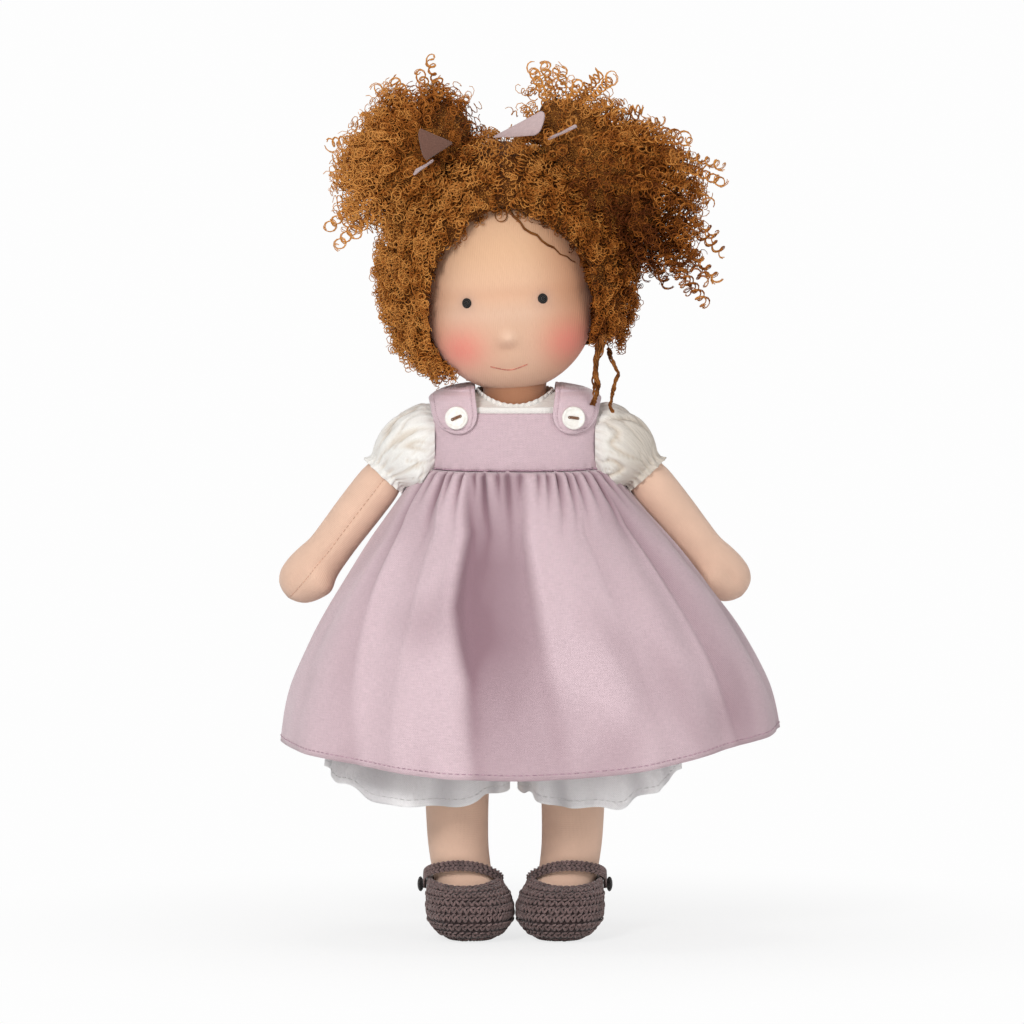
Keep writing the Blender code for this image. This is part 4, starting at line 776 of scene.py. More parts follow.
def under_hair(name, node, sink, roughness, finish, body, reshape=None):
    """The mass under the curls: a lumpy copy of a packed hair volume, drawn in a little and reshaped."""
    shape = bmesh.new()
    shape.from_mesh(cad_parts[node].data)
    bmesh.ops.remove_doubles(shape, verts=shape.verts, dist=0.0001)
    rough = bpy.data.objects.new(name + "_rough", mesh_from(shape, name + "_rough"))
    bpy.context.scene.collection.objects.link(rough)
    remesh = rough.modifiers.new("even", "REMESH")
    remesh.mode = "VOXEL"
    remesh.voxel_size = 0.0022
    ready = rough.evaluated_get(bpy.context.evaluated_depsgraph_get())
    shape = bmesh.new()
    shape.from_mesh(ready.to_mesh())
    bpy.data.objects.remove(rough)
    shape.normal_update()
    bmesh.ops.smooth_vert(shape, verts=shape.verts, factor=0.5, use_axis_x=True, use_axis_y=True,
                          use_axis_z=True)
    moves = []
    for vert in shape.verts:
        lump = noise.noise(vert.co * 190) + 0.5 * noise.noise(vert.co * 420)
        moves.append(vert.normal * (roughness * lump - sink))
    for vert, move in zip(shape.verts, moves):
        vert.co += move
        if reshape:
            vert.co = reshape(vert.co)
    return add_piece(name, mesh_from(shape, name), finish, body, Matrix.Identity(4), stands_for=(node,))


CURL_STEPS = 7
CAP_CURLS = 1960
BESIDE_CURLS = 420
# Side, count, lowest and highest place of the curls that fill the gap beside the jaw
JAW_CURLS = ((-1, 130, -0.036, -0.010), (1, 120, -0.0230, -0.010))
BESIDE_LINE = ((-0.040, -0.020, 0.005, 0.020), (0.030, 0.0378, 0.0384, 0.034))
BESIDE_LOWEST = {"right": -0.037, "left": -0.0205}
CURLS_PER_PIECE = 700
LOCKS_PER_PIECE = 150
CAP_STRAND = 0.00025
HAIRLINE_STRAND = 0.00024
HAIRLINE_SPACING = 0.0008


def small_curl(root, bend, tip, radii, pitches, dice, growth=1.1):
    """A curl whose radius and spacing of rings are drawn from two ranges."""
    radius = dice.uniform(*radii)
    return curl(root, bend, tip, radius, radius * growth, dice.uniform(*pitches), dice, CURL_STEPS)


def cap_curls(dice):
    """Curls all over the cap, combed up to the nearer tie above and hanging loose below."""
    routes = []
    ties = [Vector((sign * BUNCH_TIE.x, BUNCH_TIE.y, BUNCH_TIE.z)) for sign in (-1, 1)]
    while len(routes) < CAP_CURLS:
        turn = dice.uniform(0, math.tau) if dice.random() < 0.62 else dice.uniform(math.pi, math.tau)
        height = WIG_HEIGHT * dice.uniform(-0.41, 0.995)
        if dice.random() > math.sqrt(max(1 - max(height / WIG_HEIGHT, 0) ** 4, 0.09)):
            continue
        root = wig_point(turn, height, dice.uniform(0.0014, 0.0040))
        if root.y < -HAIRLINE_DEPTH and inside_hairline(root.x, root.z, 0.0006):
            continue
        if root.x > 0.012 and root.z < LOW_LEFT_EDGE:
            continue
        tie = ties[0] if root.x < 0.002 else ties[1]
        rise = np.interp(root.z, (-0.02, 0.03), (-0.6, 1.0))
        flow = (tie - root).normalized() * rise + scatter(dice, 0.6)
        outward = (root - Vector((0, 0.004, 0.015))).normalized()
        flow = (flow - outward * flow.dot(outward)).normalized()
        tip = root + (flow * 0.90 + outward * 0.42) * dice.uniform(0.006, 0.010)
        if tip.y < -HAIRLINE_DEPTH and inside_hairline(tip.x, tip.z):
            tip = root + (root - tip) * 0.8
        bend = (root + tip) / 2 + outward * 0.0008
        routes += small_curl(root, bend, tip, (0.0009, 0.0017), (0.0019, 0.0027), dice)
    return routes


def hairline_curls(dice):
    """Curls along the edge of the face opening, lying on the skin."""
    routes = []
    for a, b in zip(HAIRLINE[1:-2], HAIRLINE[2:-1]):
        length = (b - a).length
        for step in range(max(int(length / HAIRLINE_SPACING), 1)):
            place = a.lerp(b, (step + dice.random()) * HAIRLINE_SPACING / max(length, HAIRLINE_SPACING))
            if abs(place.x) > 0.0392 or place.y < -0.034:
                continue
            seat = on_face(place.x, place.y, 0.0012)
            inward = Vector((-place.x, 0, 0.012 - place.y)).normalized()
            root = seat - inward * dice.uniform(0.0, 0.0035)
            tip = seat + inward * dice.uniform(-0.002, 0.0014) + Vector((0, 0, dice.uniform(-0.006, 0.002)))
            tip = on_face(tip.x, tip.z, 0.0014)
            bend = (root + tip) / 2 + Vector((0, -0.0008, 0))
            routes += small_curl(root, bend, tip, (0.0008, 0.0015), (0.0018, 0.0028), dice, 0.9)
    return routes


def beside_curls(dice):
    """Curls that hang beside the face, close to the head."""
    routes = []
    while len(routes) < BESIDE_CURLS:
        direction = Vector((dice.uniform(-1, 1), dice.uniform(-0.80, 0.15), dice.uniform(-0.95, 0.45)))
        seat = head_surface(direction.normalized())
        lowest = BESIDE_LOWEST["right" if seat.x < 0 else "left"]
        if abs(seat.x) < np.interp(seat.z, *BESIDE_LINE) or seat.z < lowest:
            continue
        root = seat * (1 + dice.uniform(0.02, 0.10))
        fall = dice.uniform(0.006, 0.010)
        aside = dice.uniform(-0.001, 0.002) * (1 if seat.x > 0 else -1)
        tip = root + Vector((aside, dice.uniform(-0.002, 0.001), -fall))
        if tip.z < lowest:
            tip.z = lowest - 0.001
        bend = (root + tip) / 2 + scatter(dice, 0.0006)
        routes += small_curl(root, bend, tip, (0.0011, 0.0019), (0.0019, 0.0028), dice)
    return routes


def jaw_curls(dice):
    """Curls that hang beside the jaw, where the head draws in below the cheeks."""
    routes = []
    for sign, count, lowest, highest in JAW_CURLS:
        for _ in range(count):
            height = dice.uniform(lowest + 0.004, highest)
            face_edge = HEAD_RADIUS * math.sqrt(1 - (height / HEAD_LOW) ** 2)
            root = Vector((sign * (face_edge + dice.uniform(0.0008, 0.0105)), dice.uniform(-0.019, -0.003),
                           height + 0.003))
            tip = root + Vector((-sign * dice.uniform(0.0, 0.002), dice.uniform(-0.002, 0.001),
                                 -dice.uniform(0.005, 0.008)))
            tip.z = max(tip.z, lowest)
            radius = dice.uniform(0.0011, 0.0018)
            bend = (root + tip) / 2 + scatter(dice, 0.0006)
            routes += curl(root, bend, tip, radius, radius * 1.1, dice.uniform(0.0019, 0.0028), dice, CURL_STEPS)
    return routes


def make_wig(locks, shadow):
    inward = HEAD.inverted()

    def lift_low_left(point):
        seat = inward @ point
        if seat.x > 0.006 and seat.z < LOW_LEFT_EDGE:
            seat.z = LOW_LEFT_EDGE + (seat.z - LOW_LEFT_EDGE) * 0.2
        return HEAD @ seat

    under_hair("wig_under", "wig_cap", 0.0030, 0.0012, shadow, "head", lift_low_left)
    dice = random.Random(11)
    split_pieces("wig_curls", cap_curls(dice), CURLS_PER_PIECE, CAP_STRAND, locks, "head")
    edge = hairline_curls(dice) + beside_curls(dice) + jaw_curls(dice)
    split_pieces("hairline_curls", edge, CURLS_PER_PIECE, HAIRLINE_STRAND, locks, "head")


def bunch_point(side, direction, share):
    """A point of a bunch in a direction from its middle, at a share of how far it fans out that way."""
    reaches = BUNCH_REACHES[side]
    turn = math.atan2(direction.z, direction.x) / math.tau % 1 * len(reaches)
    reach = np.interp(turn, range(len(reaches) + 1), reaches + reaches[:1])
    return BUNCH_MIDDLES[side] + Vector((direction.x * reach, direction.y * BUNCH_HALF_DEPTHS[side],
                                         direction.z * reach)) * share


FRIZZ_CURLS = 760
LONG_LOCKS = 88
FRIZZ_STRAND = 0.00027
LOCK_STRAND = 0.00033
RINGLET_STRAND = 0.00038
BUNCH_SEEDS = {"right": 23, "left": 31}


def frizz_curls(side, tie, dice):
    """Small curls all through a bunch, pointing away from its tie."""
    routes = []
    while len(routes) < FRIZZ_CURLS:
        direction = scatter(dice, 1).normalized()
        share = dice.uniform(0.46, 0.78)
        if side == "left" and direction.x < -0.2 and direction.z > 0.4:
            share = dice.uniform(0.55, 0.98)
        root = bunch_point(side, direction, share)
        if in_wig(root) or (direction.y > 0.4 and dice.random() < 0.4):
            continue
        flow = ((root - tie).normalized() + scatter(dice, 0.35)).normalized()
        tip = root + flow * dice.uniform(0.008, 0.013) * (0.6 if share > 0.74 else 1.0)
        bend = (root + tip) / 2 + scatter(dice, 0.0012)
        routes += small_curl(root, bend, tip, (0.0011, 0.0020), (0.0023, 0.0032), dice, 1.2)
    return routes


def make_bunch(side, sign, locks, shadow):
    dice = random.Random(BUNCH_SEEDS[side])
    tie = Vector((sign * BUNCH_TIE.x, BUNCH_TIE.y, BUNCH_TIE.z))
    body = f"bunch_{side}"
    under_hair(f"bunch_under_{side}", f"hair_bunch_{side}", 0.0030, 0.0030, shadow, body,
               lambda point: (HEAD @ tie).lerp(point, 0.68))
    frizz = frizz_curls(side, tie, dice)
    long_locks, rim = [], []
    while len(long_locks) < 2 * LONG_LOCKS:
        direction = scatter(dice, 1)
        direction.y *= 0.8
        direction.normalize()
        tip = bunch_point(side, direction, dice.uniform(0.66, 0.95))
        if in_wig(tip) or (tip - tie).length < 0.024:
            continue
        long_locks += hair_lock(tie, tip, dice)
    for x, z in BUNCH_TIPS[side]:
        depth = BUNCH_HALF_DEPTHS[side]
        for _ in range(2):
            tip = Vector((x + dice.gauss(0, 0.0009), dice.uniform(-0.6, 0.25) * depth, z + dice.gauss(0, 0.0009)))
            rim += hair_lock(tie, tip, dice)
    split_pieces(f"bunch_frizz_{side}", frizz, CURLS_PER_PIECE, FRIZZ_STRAND, locks, body)
    split_pieces(f"bunch_locks_{side}", long_locks, LOCKS_PER_PIECE, LOCK_STRAND, locks, body)
    split_pieces(f"bunch_ringlets_{side}", rim, LOCKS_PER_PIECE, RINGLET_STRAND, locks, body)


def hair_lock(tie, tip, dice):
    """Two strands that run from a tie to a tip, crimped at first and opening into a ringlet."""
    reach = (tip - tie).length
    root = tie + scatter(dice, 0.0035) + (tip - tie) * min(0.012 / reach, 0.4)
    bend = tie.lerp(tip, 0.55) + Vector((0, 0, 0.09 * reach)) + scatter(dice, 0.0025)
    return curl(root, bend, tip, 0.0008, dice.uniform(0.0022, 0.0029), dice.uniform(0.0034, 0.0042), dice,
                steps=9, opening=2.2, twins=2)


def in_wig(point):
    """Whether a point lies well inside the wig's own volume."""
    if point.z > WIG_HEIGHT or point.z < -0.41 * WIG_HEIGHT:
        return False
    turn = math.atan2(point.y - 0.003, point.x)
    surface = wig_point(turn, point.z, 0.002)
    return Vector((point.x, point.y - 0.003)).length < Vector((surface.x, surface.y - 0.003)).length


LOCK_ROUTES = {
    "thick": ((0.0415, -0.0205, -0.0164), (0.0410, -0.0210, -0.026), (0.0395, -0.0210, -0.036),
              (0.0375, -0.0205, -0.044), (0.0355, -0.0200, -0.0505)),
    "thin": ((0.0440, -0.0100, -0.0245), (0.0475, -0.0150, -0.031), (0.0480, -0.0195, -0.040),
             (0.0445, -0.0195, -0.048), (0.0455, -0.0200, -0.054)),
}


# Strands, radius, length of one turn and thickness of a strand
LOOSE_LOCKS = {"thick": (15, 0.0021, 0.030, 0.00050), "thin": (6, 0.0011, 0.012, 0.00040)}
LOCK_POINTS = 90
BROW_RING = (-0.0008, 0.0418, 0.0027)
BROW_STRAND = (
    (-0.002, 0.0475), (0.0005, 0.0462), (0.0030, 0.0442), (0.0048, 0.0412), (0.0078, 0.0382), (0.0095, 0.0352),
    (0.0125, 0.0330), (0.0152, 0.0318), (0.0172, 0.0290), (0.0198, 0.0268), (0.0228, 0.0252), (0.0252, 0.0222),
    (0.0282, 0.0208), (0.0302, 0.0186), (0.0318, 0.0176))


def make_loose_locks(dark, brow):
    dice = random.Random(5)
    for name, (strands, radius, pitch, strand_radius) in LOOSE_LOCKS.items():
        rows = LOCK_ROUTES[name]
        line = Profile(rows)
        turns = sum((Vector(b) - Vector(a)).length for a, b in zip(rows, rows[1:])) / pitch
        routes = []
        for _ in range(strands):
            shift, own = dice.uniform(-1.0, 1.0), dice.uniform(0, math.tau)
            spread = dice.uniform(0.7, 1.15)
            points = []
            for index in range(LOCK_POINTS + 1):
                t = index / LOCK_POINTS
                reach = radius * spread * (1.15 - 0.6 * t)
                turn, fray = shift + turns * math.tau * t, own + 34 * t
                points.append(Vector(line(t)) + Vector((math.cos(turn), math.sin(turn), 0.5 * math.sin(turn))) * reach
                              + Vector((math.cos(fray), math.sin(fray), 0)) * 0.0005)
            routes.append(points)
        add_threads(f"lock_{name}", routes, strand_radius, dark, "head", HEAD, (f"side_lock_{name}",), lock_taper)
    stray = [on_face(x, z, 0.0008) for x, z in BROW_STRAND]
    beside = [point + Vector((0, -0.0003, 0.0006)) for point in stray[:11]]
    add_threads("brow_strand", [stray, beside], 0.00044, brow, "head", HEAD, taper=lock_taper)
    middle_x, middle_z, reach = BROW_RING
    ring = [on_face(middle_x + reach * math.sin(turn), middle_z + reach * math.cos(turn), 0.0012)
            for turn in np.linspace(0.3, 6.9, 26)]
    add_threads("brow_ring", [ring], 0.00034, brow, "head", HEAD)


# Ribbons
def make_ribbons(linen_finish, ribbon_shade):
    for name, (side, node, corners, finish_name, bow) in RIBBONS.items():
        root, low, high = [Vector(corner) for corner in corners]

        def place(across, along):
            far = low.lerp(high, across)
            rounding = 1 - 0.10 * (2 * across - 1) ** 4 * along**3
            point = root.lerp(far, (0.06 + 0.94 * along) * rounding)
            point.y -= bow * math.sin(along * math.pi * 0.8) + 0.0014 * math.cos((across - 0.4) * math.pi * 1.5) * along
            return point

        mesh = formed(name, 18, 24, (0.012, 0.026), place)
        finish = ribbon_shade if finish_name == "ribbon_shade" else linen_finish
        piece = add_piece(name, mesh, finish, f"bunch_{side}", HEAD, stands_for=(node,) if node else ())
        thicken(piece, 0.0009)


# Side, node it stands for, corners, finish and bow of each ribbon piece; the point of the doll's right ribbon takes the
# dark linen, painted shade, and its edge the lighter ribbon linen
RIBBONS = {
    "ribbon_point_right": ("right", "ribbon_end_right", ((-0.0205, -0.0330, 0.0785), (-0.0352, -0.0352, 0.0705),
                                                         (-0.0374, -0.0352, 0.0873)), "ribbon_shade", 0.0008),
    "ribbon_edge_right": ("right", "", ((-0.0300, -0.0345, 0.0715), (-0.0405, -0.0345, 0.0640),
                                        (-0.0398, -0.0345, 0.0672)), "linen", 0.0004),
    "ribbon_fold": ("left", "ribbon_fold_left", ((-0.0035, -0.0190, 0.0785), (0.0200, -0.0275, 0.0790),
                                                 (0.0236, -0.0275, 0.0915)), "linen", 0.0022),
    "ribbon_tail": ("left", "ribbon_tail_left", ((0.0225, -0.0300, 0.0768), (0.0366, -0.0335, 0.0815),
                                                 (0.0374, -0.0335, 0.0838)), "linen", 0.0010),
}


# Arms and sleeves
SHOULDER_REACH = 0.0387
ARM_REACH = 0.0678
ARM_BACKS = {"right": 0.020, "left": 0.028}
ARM_DROP = 0.085
ARM_RADIUS = 0.011
ARM = Profile((
    (-0.02, 0.00, 0.000, 0.0, 0.0), (0.000, 0.00, 0.000, 0.0, 0.700), (0.041, 0.00, 0.000, 0.0, 0.720),
    (0.142, 0.04, 0.041, 18.0, 0.740), (0.196, 0.14, 0.147, 48.0, 0.800), (0.314, 0.32, 0.288, 52.0, 0.855),
    (0.380, 0.39, 0.360, 52.0, 0.945), (0.470, 0.46, 0.455, 52.5, 0.960), (0.560, 0.53, 0.550, 53.0, 0.950),
    (0.645, 0.625, 0.642, 53.0, 0.930), (0.730, 0.72, 0.735, 53.0, 0.940), (0.800, 0.79, 0.800, 53.0, 1.020),
    (0.860, 0.86, 0.862, 53.0, 1.085), (0.920, 0.93, 0.922, 53.0, 1.030), (0.965, 0.97, 0.965, 53.0, 0.790),
    (0.988, 0.99, 0.988, 53.0, 0.480), (0.998, 1.0, 0.998, 53.0, 0.200), (1.002, 1.0, 1.002, 53.0, 0.0),
))
SLEEVE = Profile((
    (0.0375, 0.000, 0.2345, 0, 0.0160, 0.0150), (0.0415, 0.000, 0.2328, 4, 0.0197, 0.0172),
    (0.0450, 0.001, 0.2312, 12, 0.0203, 0.0188), (0.0492, 0.002, 0.2285, 22, 0.0204, 0.0193),
    (0.0530, 0.0035, 0.2252, 32, 0.0186, 0.0180), (0.0562, 0.0050, 0.2222, 41, 0.0150, 0.0150),
    (0.0588, 0.0062, 0.2196, 47, 0.0113, 0.0114), (0.0602, 0.0070, 0.2180, 48, 0.0114, 0.0115),
    (0.0616, 0.0078, 0.2166, 48, 0.0122, 0.0124),
))
THUMB_SHARE = 0.86


def arm_section(side, row, radius, turn):
    """A point of an arm or sleeve, from a row of reach, backward lean, drop, slope and radius."""
    sign = SIDES[side]
    reach, back, drop, slope, radius_share = row
    middle = Vector((sign * (SHOULDER_REACH + ARM_REACH * reach), ARM_BACKS[side] * back,
                     SHOULDER_HEIGHT - ARM_DROP * drop))
    tilt = math.radians(slope)
    outward = Vector((sign * math.sin(tilt), 0, math.cos(tilt)))
    spoke = Y_AXIS * math.cos(turn) + outward * math.sin(turn)
    return middle, spoke, radius * radius_share


def make_arm(side, sign, skin, thread):
    def place(across, along, lift=0.0):
        row = ARM(along)
        middle, spoke, radius = arm_section(side, row, ARM_RADIUS, across * math.tau)
        if row[4] > 0.02:
            towards = Vector((-sign * 0.55, -0.75, -0.35)).normalized()
            turn = math.acos(min(max(spoke.dot(towards), -1), 1))
            weight = math.exp(-((row[0] - THUMB_SHARE) / 0.055) ** 2)
            radius += 0.0040 * weight * math.exp(-((turn / math.radians(36)) ** 2))
            crease = math.exp(-((row[0] - 0.90) / 0.05) ** 2) * math.exp(-(((turn - 0.95) / 0.22) ** 2))
            radius -= 0.0011 * crease
            seam = math.exp(-((math.sin((across - 0.5) * math.pi) / 0.055) ** 2))
            radius -= 0.00055 * seam * (side == "right")
        return middle + spoke * (radius + lift)

    mesh = formed(f"arm_{side}", 72, 110, (0.068, 0.125), place)
    arm = add_piece(f"arm_{side}", mesh, skin, f"arm_{side}", stands_for=(f"arm_skin_{side}",
                                                                          f"arm_stuffing_{side}"))
    if side == "right":
        seam = dashes(lambda share: place(0.5, 0.27 + share * 0.62, 0.00005), 40, 0.6)
        add_threads(f"arm_seam_{side}", seam, 0.00022, thread, f"arm_{side}")


def make_sleeve(side, sign, cotton, elastic):
    shift = 0.7 if side == "right" else 2.1
    back = ARM_BACKS[side] / ARM_BACKS["right"]

    def folds(turn, along):
        """How far the puff stands out of its plain shape, and how much painted shade it gets there."""
        puff = math.sin(min(along / 0.80, 1) * math.pi) ** 1.3
        slant = turn + 0.9 * along
        broad = noise.noise(Vector((2.0 * math.cos(slant), 2.0 * math.sin(slant), 1.3 * along + shift * 7)))
        fine = noise.noise(Vector((4.2 * math.cos(turn), 4.2 * math.sin(turn), 2.6 * along + shift * 3)))
        valley = max(1 - abs(broad) * 7, 0) ** 1.4
        small = max(1 - abs(fine) * 8, 0) ** 1.4
        push = puff * (0.0028 * broad - 0.0020 * valley - 0.0010 * small)
        gather = wave(turn, 24, shift, 1.4)
        cuff = math.exp(-((along - 0.75) / 0.10) ** 2)
        head = math.exp(-(along / 0.10) ** 2)
        push += 0.0007 * gather * (cuff + head * 0.5)
        push += 0.0009 * wave(turn, 15, shift, 1.0) * max(along - 0.80, 0) / 0.20
        painted_shade = puff * (0.85 * valley + 0.45 * small) + max(-gather, 0) * 0.5 * (cuff + head * 0.6)
        return push, painted_shade

    def place(across, along):
        turn = across * math.tau
        reach, lean, height, slope, tall, deep = SLEEVE(along)
        tilt = math.radians(slope)
        outward = Vector((sign * math.sin(tilt), 0, math.cos(tilt)))
        push = folds(turn, along)[0]
        sag = -0.0010 * math.sin(min(along / 0.8, 1) * math.pi)
        return (Vector((sign * reach, lean * back, height + sag)) + Y_AXIS * math.cos(turn) * (deep + push)
                + outward * math.sin(turn) * (tall + push))

    mesh = formed(f"puff_{side}", 136, 64, (0.16, 0.045), place, None, lambda u, v: folds(u * math.tau, v)[1])
    sleeve = add_piece(f"puff_{side}", mesh, cotton, f"arm_{side}", stands_for=(f"sleeve_{side}",))
    thicken(sleeve, 0.0006)

    def band(share):
        row = ARM((5.0 + 0.1) / 17)
        middle, spoke, radius = arm_section(side, row, ARM_RADIUS, share * math.tau)
        return middle + spoke * (radius + 0.0005)

    ring = [band(index / 40) for index in range(41)]
    add_threads(f"cuff_elastic_{side}", [ring], 0.00032, elastic, f"arm_{side}",
                stands_for=(f"sleeve_elastic_{side}",), sides=1)


# Legs and shoes
LEG_REACH = 0.0272
LEG_RADIUS = 0.0165
SOLE = 0.0038
LEG = Profile((
    (0.754, 0.0, 0.1450, 0, 0.0, 0.0), (0.754, 0.0, 0.1448, 0, 0.915, 0.100), (0.765, 0.001, 0.1381, 0, 0.933, 0.394),
    (0.779, 0.001, 0.1311, 0, 0.958, 0.715), (0.809, 0.001, 0.1245, 0, 0.970, 0.939),
    (0.956, 0.001, 0.1040, 0, 1.000, 1.000), (1.000, 0.001, 0.0730, 0, 0.920, 0.920),
    (0.993, 0.002, 0.0500, 0, 0.872, 0.872), (0.956, 0.002, 0.0375, 0, 0.850, 0.850),
    (0.875, 0.000, 0.0250, 35, 0.850, 0.860), (0.785, -0.0070, 0.0165, 65, 0.960, 0.760),
    (0.765, -0.0165, 0.0143, 85, 0.990, 0.585), (0.765, -0.0260, 0.0130, 90, 0.830, 0.480),
    (0.765, -0.0315, 0.0132, 90, 0.450, 0.240), (0.765, -0.0325, 0.0133, 90, 0.0, 0.0),
))
SHOE = Profile((
    (-0.135, 0.772, 0.360, 0.580, 0.600), (-0.095, 0.772, 0.580, 0.760, 0.780), (0.010, 0.772, 0.780, 0.890, 0.890),
    (0.150, 0.772, 0.910, 0.965, 0.950), (0.300, 0.774, 0.982, 1.002, 1.000), (0.440, 0.780, 1.000, 1.002, 1.000),
    (0.560, 0.788, 0.982, 0.975, 0.997), (0.680, 0.808, 0.945, 0.920, 0.985), (0.790, 0.830, 0.905, 0.835, 0.968),
    (0.885, 0.856, 0.860, 0.730, 0.950), (0.952, 0.880, 0.826, 0.610, 0.936), (1.000, 0.893, 0.806, 0.480, 0.920),
))
SHOE_RIM_RISE = 0.0244
SHOE_HALF_WIDTH = 0.0204
SHOE_TOE = 0.038
SHOE_HEEL = 0.0198
SOLE_MIDDLE = -0.0056
SOLE_HALF_LENGTH = 0.0330
STRAP_RADIUS = 0.0158
STRAP_HEIGHTS = (0.0245, 0.0352)
SHOE_STRAP = Profile((
    (0.00, 0.00, 1.13), (0.06, 0.30, 1.15), (0.12, 0.55, 1.18), (0.20, 0.76, 1.12), (0.35, 0.93, 1.03),
    (0.50, 0.97, 1.00), (0.65, 0.86, 1.02), (0.82, 0.55, 1.08), (1.00, 0.16, 1.14),
))


def make_leg(side, sign, skin):
    def place(across, along):
        reach, back, height, slope, width, depth = LEG(along)
        tilt = math.radians(slope)
        backward = Vector((0, math.cos(tilt), -math.sin(tilt)))
        turn = across * math.tau
        return (Vector((sign * LEG_REACH * reach, back, height)) + X_AXIS * (math.cos(turn) * LEG_RADIUS * width)
                + backward * (math.sin(turn) * LEG_RADIUS * depth))

    mesh = formed(f"leg_{side}", 72, 110, (0.1, 0.16), place)
    leg = add_piece(f"leg_{side}", mesh, skin, f"leg_{side}", stands_for=(f"leg_skin_{side}",
                                                                          f"leg_stuffing_{side}"))


def shoe_surface(sign, across, along, inset=0.0):
    rise, reach, width, toe, heel = SHOE(along)
    front, rear = -SHOE_TOE * toe + inset, SHOE_HEEL * heel - inset
    x, y = superellipse(across * math.tau, SHOE_HALF_WIDTH * width - inset, (rear - front) / 2, 2.3)
    dip = 1 - 0.12 * max(-math.sin(across * math.tau), 0) ** 2 * max(along, 0) ** 3
    return Vector((sign * LEG_REACH * reach + x, (front + rear) / 2 + y, SOLE + SHOE_RIM_RISE * rise * dip))


def stitch_shape(length, radius):
    """One strand of a crochet stitch, a plump grain lying along X."""
    shape = bmesh.new()
    bmesh.ops.create_uvsphere(shape, u_segments=6, v_segments=5, radius=1)
    bmesh.ops.scale(shape, vec=(radius, radius, length / 2), verts=shape.verts)
    bmesh.ops.rotate(shape, matrix=Matrix.Rotation(math.pi / 2, 3, "Y"), verts=shape.verts)
    return shape


def crochet_work(name, places, grain, finish, body, stands_for=()):
    """Many stitches as one piece: each place is a matrix for one grain of yarn."""
    seed = stitch_shape(*grain)
    seed_mesh = mesh_from(seed, name + "_grain")
    work = bmesh.new()
    for place in places:
        before = len(work.verts)
        work.from_mesh(seed_mesh)
        work.verts.ensure_lookup_table()
        bmesh.ops.transform(work, matrix=place, verts=work.verts[before:])
    bpy.data.meshes.remove(seed_mesh)
    return add_piece(name, mesh_from(work, name), finish, body, stands_for=stands_for)


def lie_on(point, along, outward):
    """A frame at a point, X along a direction and Z out of the surface."""
    x = along.normalized()
    y = outward.cross(x).normalized()
    z = x.cross(y)
    return Matrix.Translation(point) @ Matrix((x, y, z)).transposed().to_4x4()


def spaced(line, distance, shift):
    """Shares evenly spaced along a closed line, each with the width of one space."""
    points = [line(index / 240) for index in range(241)]
    lengths = np.cumsum([0.0] + [(b - a).length for a, b in zip(points, points[1:])])
    count = int(lengths[-1] / distance)
    shares = np.interp([(index + shift) / count * lengths[-1] for index in range(count)], lengths,
                       np.linspace(0, 1, 241))
    return [(share, 1 / count) for share in shares.tolist()]


CROCHET_ROWS = 9
PROUD_ROWS = (2, 5)
STITCH_SPACING = 0.0029
SOLE_STITCHES = 52
BRAID_STITCHES = 27
BRAID_RISES = (-0.0013, 0.0013)
# Length and radius of one grain of yarn
LEG_GRAIN, LOOP_GRAIN, SOLE_GRAIN, BRAID_GRAIN = ((0.0036, 0.00066), (0.0030, 0.00056), (0.0034, 0.00078),
                                                  (0.0029, 0.00058))
SHOE_SEEDS = {"right": 41, "left": 43}
SOLE_REACH = LEG_REACH * 0.772
ANKLE_REACH = LEG_REACH * 0.893
BEAD_RADIUS = 0.0034


def make_upper(side, sign, crochet, dark):
    body = f"leg_{side}"
    mesh = formed(f"shoe_{side}", 72, 40, (0.19, 0.045), lambda u, v: shoe_surface(sign, u, v, 0.0007))
    shell = add_piece(f"shoe_{side}", mesh, dark, body, stands_for=(f"shoe_upper_{side}",))
    thicken(shell, 0.0014)
    dice = random.Random(SHOE_SEEDS[side])
    legs, loops = [], []
    hub = Vector((sign * LEG_REACH * 0.8, -0.008, 0.012))
    for row in range(CROCHET_ROWS):
        high = (row + 1) / CROCHET_ROWS
        middle = (row + 0.5) / CROCHET_ROWS
        for u, width in spaced(lambda share: shoe_surface(sign, share, middle), STITCH_SPACING, 0.5 * (row % 2)):
            u += dice.uniform(-0.08, 0.08) * width
            point = shoe_surface(sign, u, middle)
            across = (shoe_surface(sign, u + 0.004, middle) - point).normalized()
            up = (shoe_surface(sign, u, min(middle + 0.02, 1)) - point).normalized()
            outward = across.cross(up).normalized()
            if outward.dot(point - hub) < 0:
                outward.negate()
            for lean in (-1, 1):
                along = up + across * (0.48 * lean * dice.uniform(0.7, 1.3))
                seat = point + across * (0.00072 * lean) + outward * dice.uniform(-0.0003, 0.0003)
                legs.append(lie_on(seat, along, outward))
            proud = 0.0007 if row in PROUD_ROWS else 0.0001
            seat = shoe_surface(sign, u, high - 0.01) + outward * proud
            loops.append(lie_on(seat, across + up * dice.uniform(0.1, 0.5), outward))
    crochet_work(f"crochet_{side}", legs, LEG_GRAIN, crochet, body)
    crochet_work(f"crochet_rows_{side}", loops, LOOP_GRAIN, crochet, body)


